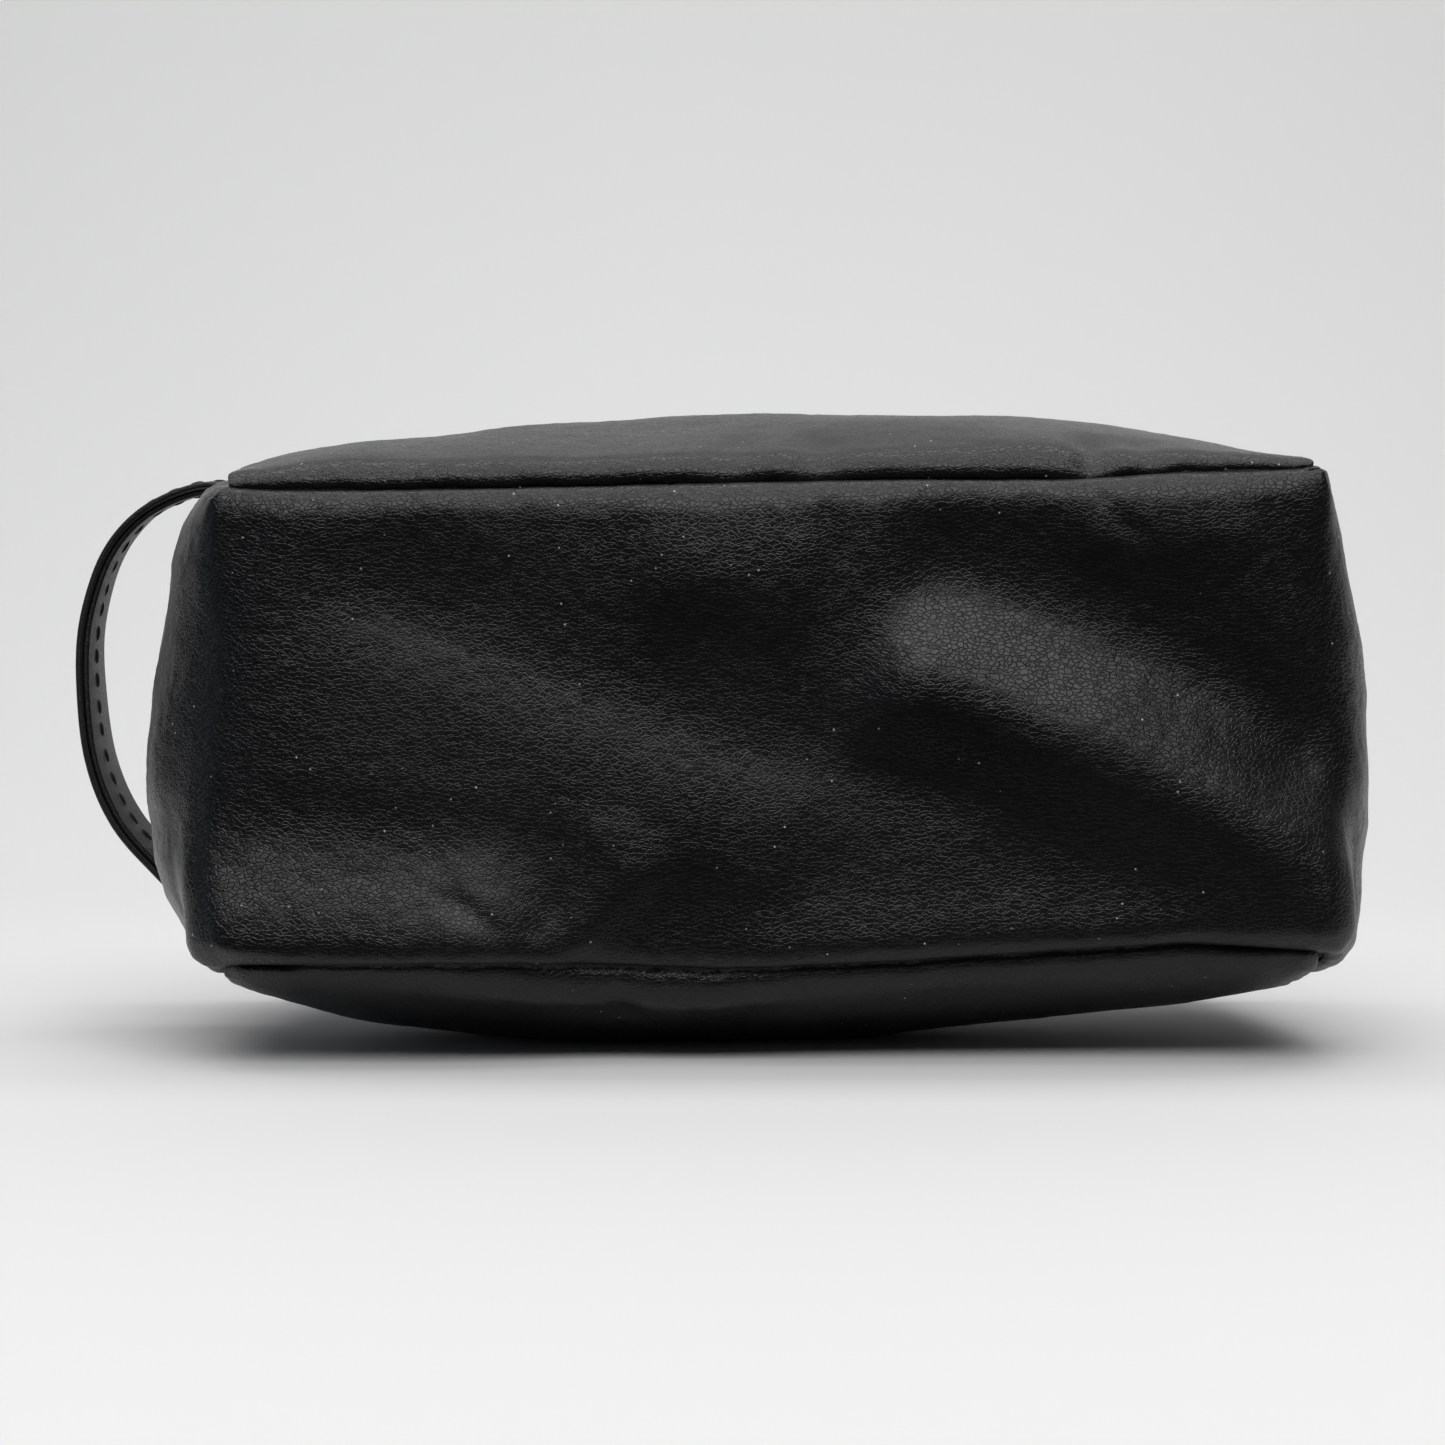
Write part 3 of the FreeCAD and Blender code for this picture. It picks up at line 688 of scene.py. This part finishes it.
def wall_relief(side, x, y, grid, normal):
    gx, gy = grid[:, :, 0], grid[:, :, 1]
    from_base = gy - BASE_Y
    from_end = CORNER_X - np.abs(gx)
    folds = 1.1 * lattice_noise(gx, gy, 42, 50 + side) + 0.5 * lattice_noise(gx, gy, 17, 52 + side)
    folds *= smooth(from_base / 12) * smooth(from_end / 12) * smooth((WALL_TOP_Y - gy) / 12)
    round_the_strip = np.sign(gx) * (CORNER_X + gy - BASE_Y)
    folds += puckers(gx, from_base, PUCKER_SEED[side]) + puckers(round_the_strip, from_end, PUCKER_SEED[side])
    if side == FRONT:
        for at, lean, deep in FRONT_WALL_CREASES:
            folds += crease(gx, gy, [(at, BASE_Y - 12), (at + lean, BASE_Y + 22)], 4.0, deep)
    else:
        folds += crease(gx, gy, [(-31, BASE_Y), (-27, BASE_Y + 16)], 3.0, 0.9)
        roll_under = np.exp(-((gx + 30) / 36) ** 4) * np.exp(-((from_base - 5.5) / 4.5) ** 2)
        folds += 1.6 * roll_under
    folds += small_bumps(gx, gy, 70 + side, 72 + side)
    out = grid + normal * folds[:, :, None]
    strip_edge = base_folds(gx[:, :1], seam_line(side, gx[:, :1]))
    out[:, :, 1] -= strip_edge * np.exp(-from_base / 9.0) * smooth(from_end / 6)
    share = END_SHARE + (1 - END_SHARE) * (1 - smooth((from_base + 6) / 14))
    pull_base, pull_end = tuck(from_base, side), tuck(from_end, side, share)
    out[:, :, 1] += TUCK_IN * pull_base
    out[:, :, 0] -= TUCK_IN * pull_end * np.sign(gx)
    deeper = 1.0 + 0.12 * (roll(np.minimum(from_base, from_end), 2.0) > 0.5)
    aside = TUCK_ASIDE * np.maximum(pull_base, pull_end) * deeper
    out[:, :, 2] -= side * (aside + 1.2 * roll(WALL_TOP_Y - gy, 2.0))
    return out


SQUASHED = 1.6          # how far the layers inside give where the rear wall lies on the floor


def on_floor(grid, lift=0.0):
    """The grid with nothing below the floor."""
    out = grid.copy()
    out[:, :, 2] = np.maximum(out[:, :, 2], lift)
    return out


def make_walls():
    surfaces = {}
    for side, name in SIDES.items():
        x, y, grid = wall_surface(side)
        normal = normals_of(grid, (0, 0, side))
        outer = wall_relief(side, x, y, grid, normal)
        inner = outer - normal * SKIN
        if side == REAR:
            outer, inner = on_floor(outer), on_floor(inner, SKIN)
        piece = shell(name + "_wall_leather", outer, inner, CASING, (0, 0, side))
        place(piece, "bag_body", "casing_leather", name + "_wall_panel")
        surfaces[side] = (x, y, grid, normal)
    return surfaces


# ---- layers inside
CLOTH_THICK = 0.5
FOAM_SHEET, BOARD_SHEET = (2.0, FOAM, "foam"), (2.0, BOARD, "board")    # thickness, look and slot
LINING_SHEET = (CLOTH_THICK, LINING, "lining_cloth")
END_FOAM_DEPTH, BOARD_DEPTH, STRIP_LINING_DEPTH = 5.0, 5.5, 8.2     # below the strip's outer face
WALL_FOAM_DEPTH, WALL_LINING_DEPTH = 3.2, 5.6                       # below a wall's outer face


def make_strip_layers(strip):
    """The foam in the two ends, the board in the base and the lining over them."""
    s, t, _, _ = strip
    cols = np.where(np.abs(t) < 0.90)[0][::3]
    up_end = np.abs(s) - CORNER_X
    on_end = (up_end > 4) & (up_end < DEPTH - 4)
    for name, rows, depth, (thick, material, slot_name), node, outward in (
            ("left_foam_sheet", on_end & (s < 0), END_FOAM_DEPTH, FOAM_SHEET, "left_end_foam", (-1, 0, 0)),
            ("right_foam_sheet", on_end & (s > 0), END_FOAM_DEPTH, FOAM_SHEET, "right_end_foam", (1, 0, 0)),
            ("stiff_base_board", up_end < -3, BOARD_DEPTH, BOARD_SHEET, "base_board", (0, -1, 0)),
            ("strip_lining", up_end < DEPTH - 3, STRIP_LINING_DEPTH, LINING_SHEET, "gusset_lining",
             (0, -1, 0))):
        pick = np.ix_(np.where(rows)[0][::3], cols)
        out, back = under_strip(strip, depth)[pick], under_strip(strip, depth + thick)[pick]
        place(shell(name, out, back, material, outward), "bag_body", slot_name, node)


def make_wall_layers(walls):
    """The foam and the lining behind each wall."""
    for side, name in SIDES.items():
        x, y, grid, normal = walls[side]
        along_bag = np.where(np.abs(x) < CORNER_X - 6)[0][::2]
        up_bag = np.where((y > BASE_Y + 6) & (y < TOP_Y - 6))[0][::2]
        pick = np.ix_(along_bag, up_bag)
        for label, depth, (thick, material, slot_name), node in (
                ("foam_sheet", WALL_FOAM_DEPTH, FOAM_SHEET, "_wall_foam"),
                ("lining_sheet", WALL_LINING_DEPTH, LINING_SHEET, "_wall_lining")):
            out, back = (grid - normal * depth)[pick], (grid - normal * (depth + thick))[pick]
            if side == REAR:
                out, back = on_floor(out, depth - SQUASHED), on_floor(back, depth - SQUASHED + thick)
            piece = shell(f"{name}_{label}", out, back, material, (0, 0, side))
            place(piece, "bag_body", slot_name, name + node)


def make_seam_bindings(strip):
    """Woven tape folded over the seam edges: up each end and along the base, on both sides."""
    s, t, _, _ = strip
    tape_depth, edge_share = 9.4, 0.84
    rows = np.where(np.abs(s) < CORNER_X + DEPTH - 9)[0][::2]
    for side, name in SIDES.items():
        col = int(np.argmin(np.abs(t - side * edge_share)))
        centres = under_strip(strip, tape_depth)[rows, col]
        across = repeated(Z_WAY, len(rows))
        up = np.cross(run_of(centres), across)
        centres = centres + up * 0.12 * lattice_noise(s[rows], 0, 6, 97 + side)[:, None]
        piece = swept(name + "_seam_tape", centres, across, up, rounded_section(3.8, 0.5, 0.4), BINDING)
        place(piece, "bag_body", "binding_tape", name + "_seam_binding")


def make_slip_pocket(walls):
    """A cloth pocket on the rear lining. Its mouth stands a little open and is bound with folded tape."""
    low, high = box_mm("slip_pocket")
    depth, mouth_slack, shut_over = 6.9, 4.5, 40
    x, y, grid, normal = walls[REAR]
    pick = np.ix_(np.where((x > low[0]) & (x < high[0]))[0], np.where((y > low[1]) & (y < high[1]))[0])
    surface = on_floor((grid - normal * depth)[pick], depth - SQUASHED)
    gx, gy = surface[:, :, 0], surface[:, :, 1]
    from_side = smooth((high[0] - np.abs(gx)) / shut_over)
    slack = mouth_slack * from_side * smooth((gy - low[1]) / (high[1] - low[1])) ** 1.5
    surface[:, :, 2] += slack + 0.4 * from_side * lattice_noise(gx, gy, 16, 98)
    piece = shell("pocket_cloth", surface, surface + CLOTH_THICK * Z_WAY, LINING, (0, 0, -1))
    place(piece, "bag_body", "lining_cloth", "slip_pocket")

    mouth = surface[:, -1] + CLOTH_THICK / 2 * Z_WAY
    tape = swept("pocket_mouth_tape", mouth, repeated(Y_WAY, len(mouth)), repeated(Z_WAY, len(mouth)),
                 rounded_section(3.3, 0.75, 0.6), BINDING)
    place(tape, "bag_body", "binding_tape", "slip_pocket_binding")


def make_tag():
    """A blank woven tag, its root caught in the left front seam tape and its free edge curling in."""
    low, high = box_mm("care_label")
    share = np.linspace(0, 1, 24)
    up_bag = np.linspace(low[1], high[1], 20)
    gs, gy = np.meshgrid(share, up_bag, indexing="ij")
    curl = low[0] - 5.5 + 7.0 * smooth(gs) + 0.3 * lattice_noise(gs * 20, gy, 8, 99)
    outer = np.stack([curl, gy, high[2] + 1.0 - gs * (high[2] - low[2])], 2)
    piece = shell("blank_tag", outer, outer + 0.35 * X_WAY, TAG, (-1, 0, 0))
    place(piece, "bag_body", "label_cloth", "care_label")


# ---- wrist loop
# the loop's outer face seen from the base: (x, height above the middle plane), upper root first
LOOP_LINE = [(-105, 49.0), (-112, 50.9), (-121.8, 51.6), (-133.9, 46.2), (-142.4, 36.0), (-146.6, 22.0),
             (-147.2, 8.0), (-145.4, -8.0), (-140.2, -21.0), (-131.4, -31.4), (-120.6, -42.0), (-110, -50.5),
             (-105, -53.0)]
LOOP_TWIST_AT = [0.0, 0.08, 0.25, 0.5, 0.75, 1.0]
LOOP_TWIST = [0.0, 5.0, 9.0, 1.5, -5.0, -2.0]       # degrees
STITCH_PITCH = 5.4


def make_loop():
    mid_y = (LOOP_LOW[1] + LOOP_HIGH[1]) / 2
    half_width = (LOOP_HIGH[1] - LOOP_LOW[1]) / 2
    line = curve_through(LOOP_LINE)(np.linspace(0, 1, 160))
    centres = np.stack([line[:, 0], np.full(len(line), mid_y), MID_Z + line[:, 1]], 1)
    run = run_of(centres)
    side_way = repeated(Y_WAY, len(line))
    # towards the inside of the loop
    inward = np.cross(side_way, run)
    inward *= np.sign((inward @ X_WAY)[len(line) // 2])
    # the strap twists a little: its far edge leans outwards near the top
    lean = np.radians(np.interp(np.linspace(0, 1, len(line)), LOOP_TWIST_AT, LOOP_TWIST))[:, None]
    near_edge = centres - side_way * half_width
    side_way, inward = (side_way * np.cos(lean) - inward * np.sin(lean),
                        inward * np.cos(lean) + side_way * np.sin(lean))
    centres = near_edge + side_way * half_width
    wave = 0.12 * lattice_noise(np.linspace(0, 150, len(line)), 0, 9, 80)[:, None]

    def strip_piece(name, depth, thick, width, node_names, material):
        mid = centres + inward * (depth + thick / 2 + wave)
        section = rounded_section(width, thick / 2, 0.55)
        piece = swept(name, mid, side_way, inward, section, material)
        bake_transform(piece)
        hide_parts(*node_names)

    strip_piece("loop_outer_leather", 0.0, 1.35, half_width, ["wrist_loop_outer", "upper_loop_root"], STRAP)
    strip_piece("loop_inner_leather", 1.45, 1.3, half_width - 0.15, ["wrist_loop_inner", "lower_loop_root"],
                STRAP)
    strip_piece("loop_edge_paint", 1.15, 0.5, half_width + 0.12, [], EDGE)

    length = np.concatenate([[0], np.cumsum(np.linalg.norm(np.diff(centres, axis=0), axis=1))])
    rows = []
    for at in np.arange(8.0, length[-1] - 8.0, STITCH_PITCH):
        k = int(np.searchsorted(length, at))
        rows.append((centres[k] + inward[k] * 2.8, run[k], inward[k]))
        rows.append((centres[k], run[k], -inward[k]))
    thread = thread_run("loop_stitching", *zip(*rows), 3.9, 0.42, THREAD)
    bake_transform(thread)
    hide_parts("wrist_loop_stitches")


# ---- top lips and zip
STITCH_INSET = 2.2      # of the topstitches from the lip's edge at the slot
TOPSTITCH = (2.5, 0.3)  # length and radius
TOPSTITCH_PITCH = 3.2


def split_columns(half_length, count):
    """Positions along a piece made as two halves. The two cells where they meet are very narrow, so that
    the shading of their edges doesn't show."""
    beside = 0.02
    return np.sort(np.concatenate([np.linspace(-half_length, half_length, count), [-beside, beside]]))


def bend_with_lip(piece, side, end, slot_name, *nodes):
    """Bakes a half piece's placement into its mesh and hides the CAD nodes it stands for. Its slot_name is
    not used.
    """
    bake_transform(piece)
    if nodes:
        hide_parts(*nodes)


def halves(side, label, x, grids, material, outward, node, slot_name):
    """Makes a sheet between two grids of points as a left and a right half."""
    middle = int(np.argmin(np.abs(x)))
    for end, pick in (("left", slice(0, middle + 1)), ("right", slice(middle, len(x)))):
        piece = shell(f"{SIDES[side]}_{label}_{end}", grids[0][pick], grids[1][pick], material, outward)
        bend_with_lip(piece, side, end, slot_name, SIDES[side] + node)


def make_lip_leather(side):
    x = split_columns(LIP_X + 5.0, 241)
    outer_edge = LIP_HALF + 0.4
    across = spread(SLOT_HALF, outer_edge, 1.0, 0.3, 3.0)
    gx, gw = np.meshgrid(x, across, indexing="ij")
    from_slot = gw - SLOT_HALF
    ripple = 0.35 * lattice_noise(gx, gw, 23, 90 + side) + 0.15 * lattice_noise(gx, gw, 8, 92 + side)
    ripple += puckers(gx, from_slot, 94 + side, 0.2)
    level = TOP_Y - 0.3 + ripple
    # turned down at the slot and at the wall, pressed in along the stitches, and tucked under the returns
    level -= 1.0 * roll(from_slot, 1.1) + 1.3 * roll(outer_edge - gw, 2.4)
    level -= 0.5 * np.exp(-((from_slot - STITCH_INSET) / 0.7) ** 2)
    level -= 0.9 * smooth((np.abs(gx) - LIP_X + 2) / 3)
    outer = np.stack([gx, level, MID_Z + side * gw], 2)
    inner = outer.copy()
    inner[:, :, 1] = np.minimum(outer[:, :, 1] - 0.9, TOP_Y - 1.25)
    halves(side, "lip_leather", x, (outer, inner), CASING, (0, 1, 0), "_lip", "casing_leather")


def make_lip_facing(side):
    x = split_columns(LIP_X - 1, 121)
    low, high = box_mm(SIDES[side] + "_lip_facing")
    gx, gz = np.meshgrid(x, np.linspace(low[2], high[2], 16), indexing="ij")
    under = np.stack([gx, np.full_like(gx, low[1]), gz], 2)
    over = under + 0.45 * Y_WAY
    halves(side, "facing_cloth", x, (under, over), LINING, (0, -1, 0), "_lip_facing", "lining_cloth")


def make_zip_tape(side):
    """Tape with a corded edge along the teeth."""
    low, high = box_mm(SIDES[side] + "_zip_tape")
    x = split_columns(high[0], 201)
    gx, gz = np.meshgrid(x, np.linspace(low[2], high[2], 26), indexing="ij")
    from_edge = np.abs(gz - MID_Z) - 0.9
    cord_edge = 0.28 * np.exp(-((from_edge - 0.5) / 0.5) ** 2)
    over = np.stack([gx, high[1] - 0.05 + cord_edge, gz], 2)
    under = np.stack([gx, low[1] + 0.05 - cord_edge, gz], 2)
    halves(side, "tape_cloth", x, (over, under), TAPE, (0, 1, 0), "_zip_tape", "zip_tape")


def make_lips():
    for side in SIDES:
        make_lip_leather(side)
        make_lip_facing(side)
        make_zip_tape(side)
        make_lip_stitches(side)
        make_teeth(side)


def make_lip_stitches(side):
    for end, hand in (("left", -1), ("right", 1)):
        at = np.arange(2.0, LIP_X - 1.0, TOPSTITCH_PITCH) * hand
        centres = [np.array([a, TOP_Y - 0.62, MID_Z + side * (SLOT_HALF + STITCH_INSET)]) for a in at]
        piece = thread_run(f"{SIDES[side]}_lip_topstitch_{end}", centres, repeated(X_WAY, len(at)),
                           repeated(Y_WAY, len(at)), *TOPSTITCH, THREAD)
        bend_with_lip(piece, side, end, "thread")


def make_teeth(side):
    """The CAD row of teeth, cut between two teeth into a left and a right half."""
    node = SIDES[side] + "_zip_teeth"
    source = NODES[node].data
    points = np.array([v.co for v in source.vertices]) / MM
    faces = [list(p.vertices) for p in source.polygons]
    middle = np.array([points[f, 0].mean() for f in faces])
    cut = 0.4 if side == FRONT else -0.9
    for end, keep in (("left", middle < cut), ("right", middle >= cut)):
        chosen = [f for f, k in zip(faces, keep) if k]
        used = sorted({i for f in chosen for i in f})
        index = {old: new for new, old in enumerate(used)}
        renumbered = [[index[i] for i in f] for f in chosen]
        piece = mesh_from(f"{SIDES[side]}_teeth_{end}", points[used], renumbered, GUNMETAL)
        piece.data.polygons.foreach_set("use_smooth", [False] * len(piece.data.polygons))
        bevel = piece.modifiers.new("soft edges", "BEVEL")
        bevel.width = 0.00008
        bevel.segments = 1
        bend_with_lip(piece, side, end, "zip_metal", node)


def tab_outline(x, tip, half_width, corner=2.2):
    """Half the tab's width at x: square at the pull, with rounded corners at its tip."""
    into_corner = np.clip(1 - (x - tip) / corner, 0, 1)
    return half_width - corner * (1 - np.sqrt(1 - into_corner ** 2))


def make_pull_tab():
    """A leather strip folded through the pull's window: two sewn plies with painted edges and a neck."""
    low, high = box_mm("zip_pull_tab")
    mid_y, half_width = (low[1] + high[1]) / 2, (high[2] - low[2]) / 2
    tip, root = low[0], high[0] - 4.7
    x = tip + (root - tip) * np.concatenate([[0.0], np.linspace(0.003, 0.07, 12), np.linspace(0.1, 1, 60)])
    v = np.linspace(-1, 1, 31)
    gx, gv = np.meshgrid(x, v, indexing="ij")
    pieces = []
    for name, y_in, y_out, grow, material in (
            ("pull_tab_upper_ply", 0.1, 1.2, 0.0, STRAP), ("pull_tab_lower_ply", -0.1, -1.2, 0.0, STRAP),
            ("pull_tab_edge_paint", -0.6, 0.6, 0.08, EDGE)):
        half = tab_outline(gx, tip, half_width) + grow - 0.1
        rim = np.maximum(np.abs(gv) ** 8, np.clip(1 - (gx - tip) / 1.2, 0, 1) ** 2)
        wave = 0.06 * lattice_noise(gx, gv * half, 6, 101)
        faces = []
        for y in (y_out, y_in):
            rounded = 0.35 * rim * np.sign(y_out) if y == y_out else 0.0
            faces.append(np.stack([gx, mid_y + y + wave - rounded, MID_Z + gv * half], 2))
        pieces.append(shell(name, faces[0], faces[1], material, (0, np.sign(y_out), 0)))

    bend = [(-7.0, 0.75), (-4.6, 1.15), (-2.6, 1.28), (-1.0, 1.22), (-0.45, 0.0), (-1.0, -1.22),
            (-2.6, -1.28), (-4.6, -1.15), (-7.0, -0.75)]
    curve = curve_through(bend)(np.linspace(0, 1, 60))
    centres = np.stack([high[0] + curve[:, 0], mid_y + curve[:, 1], np.full(len(curve), MID_Z)], 1)
    across = repeated(Z_WAY, len(curve))
    pieces.append(swept("pull_tab_neck", centres, across, np.cross(run_of(centres), across),
                        rounded_section(1.9, 0.4, 0.3), STRAP))

    seam = half_width - 1.4
    spots = [(a, edge * seam, X_WAY) for a in np.arange(tip + 3.2, root - 1.5, 2.6) for edge in (-1, 1)]
    spots += [(tip + 1.5, b, Z_WAY) for b in (-1.7, 0.9)]
    rows = []
    for a, b, way in spots:
        for face in (-1, 1):
            rows.append((np.array([a, mid_y + face * 1.12, MID_Z + b]), way, face * Y_WAY))
    pieces.append(thread_run("pull_tab_stitching", *zip(*rows), 2.0, 0.26, THREAD))
    for piece in pieces:
        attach(piece, "pull_body")
    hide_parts("zip_pull_tab")


def make_return_stitches():
    rows = []
    for hand in (-1, 1):
        for z in np.arange(-LIP_HALF + 3, LIP_HALF - 2, TOPSTITCH_PITCH):
            if abs(z) > 3.0:
                rows.append(np.array([hand * (LIP_X + 2.4), TOP_Y + 0.15, MID_Z + z]))
    piece = thread_run("return_topstitch", rows, repeated(Z_WAY, len(rows)), repeated(Y_WAY, len(rows)),
                       *TOPSTITCH, THREAD)
    place(piece, "bag_body", "thread")


# ---- looks of the CAD nodes that stay
METAL_NODES = ["zip_slider", "zip_pull", "zip_top_stops", "zip_bottom_stop"]


def dress_metal_nodes():
    for name in METAL_NODES:
        data = NODES[name].data
        data.materials.clear()
        data.materials.append(GUNMETAL)


# ---- studio
CAMERA_BACK = 480.0     # from the base panel
CAMERA_X = -9.4
CAMERA_RISE = 0.6       # above the bag's middle plane
FOCAL_PER_SENSOR = 1.7306
SENSOR = 36.0


def make_camera():
    data = bpy.data.cameras.new("camera")
    data.sensor_width = SENSOR
    data.lens = SENSOR * FOCAL_PER_SENSOR
    data.clip_start, data.clip_end = 0.01, 20.0
    camera = bpy.data.objects.new("camera", data)
    camera.location = (CAMERA_X * MM, (BASE_Y - CAMERA_BACK) * MM, (MID_Z + CAMERA_RISE) * MM)
    camera.rotation_euler = (math.radians(90), 0, 0)
    bpy.context.scene.collection.objects.link(camera)
    bpy.context.scene.camera = camera


# the studio floor and backdrop, in millimetres
STAGE_HALF, STAGE_FRONT, STAGE_SPLIT = 7000.0, -7000.0, -85.0
STAGE_BACK, STAGE_BEND, STAGE_TOP = 900.0, 500.0, 2600.0
BEND_STEPS = 16


def make_stage():
    """A floor that curves up into a backdrop behind the bag. The part in front of the split is left out
    of reflections and bounced light, because the base panel would mirror it and look grey."""
    paper = studio_look("studio_paper", 0.86)
    sweep = [(STAGE_SPLIT, 0.0), (STAGE_BACK - STAGE_BEND, 0.0)]
    for k in range(1, BEND_STEPS + 1):
        a = math.radians(90 * k / BEND_STEPS)
        sweep.append((STAGE_BACK - STAGE_BEND * (1 - math.sin(a)), STAGE_BEND * (1 - math.cos(a))))
    sweep.append((STAGE_BACK, STAGE_TOP))
    for name, line in (("backdrop", sweep), ("front_floor", [(STAGE_FRONT, 0.0), (STAGE_SPLIT, 0.0)])):
        grid = np.array([[(x, y, z + cad_low[2] / MM) for x in (-STAGE_HALF, STAGE_HALF)] for y, z in line])
        paper_sheet = mesh_from(name, grid.reshape(-1, 3), grid_faces(len(line), 2), paper)
        bounces = name == "backdrop"
        paper_sheet.visible_glossy = bounces
        paper_sheet.visible_diffuse = bounces


def area_light(name, place, aim, size, power, colour=(1, 1, 1)):
    data = bpy.data.lights.new(name, "AREA")
    data.shape = "RECTANGLE"
    data.size, data.size_y = size
    data.energy = power
    data.color = colour
    light = bpy.data.objects.new(name, data)
    light.location = place
    light.visible_camera = False
    light.rotation_euler = (Vector(aim) - Vector(place)).to_track_quat("-Z", "Y").to_euler()
    bpy.context.scene.collection.objects.link(light)


def make_lights():
    aim = (0, 0, MID_Z * MM)
    area_light("key_above", (0.05, -0.82, 0.90), aim, (1.4, 0.6), 8.5, (1.0, 0.995, 0.985))
    area_light("ceiling", (0.0, -0.15, 1.25), aim, (1.3, 0.7), 4.5)
    area_light("backdrop_light", (0.0, 0.35, 1.5), (0, 0.85, 0.2), (2.4, 0.5), 10.0)
    area_light("left_fill", (-1.2, -0.5, 0.35), aim, (0.5, 0.8), 0.6, (0.62, 0.82, 1.0))
    world = bpy.data.worlds.new("studio")
    world.use_nodes = True
    background = world.node_tree.nodes["Background"]
    background.inputs["Color"].default_value = (0.9, 0.93, 0.96, 1)
    background.inputs["Strength"].default_value = 0.05
    bpy.context.scene.world = world
    bpy.context.scene.view_settings.view_transform = "Standard"


# ---- make it
make_camera()
make_stage()
make_lights()
strip = make_gusset()
walls = make_walls()
make_strip_layers(strip)
make_wall_layers(walls)
make_seam_bindings(strip)
make_slip_pocket(walls)
make_tag()
make_loop()
make_lips()
make_pull_tab()
make_return_stitches()
dress_metal_nodes()
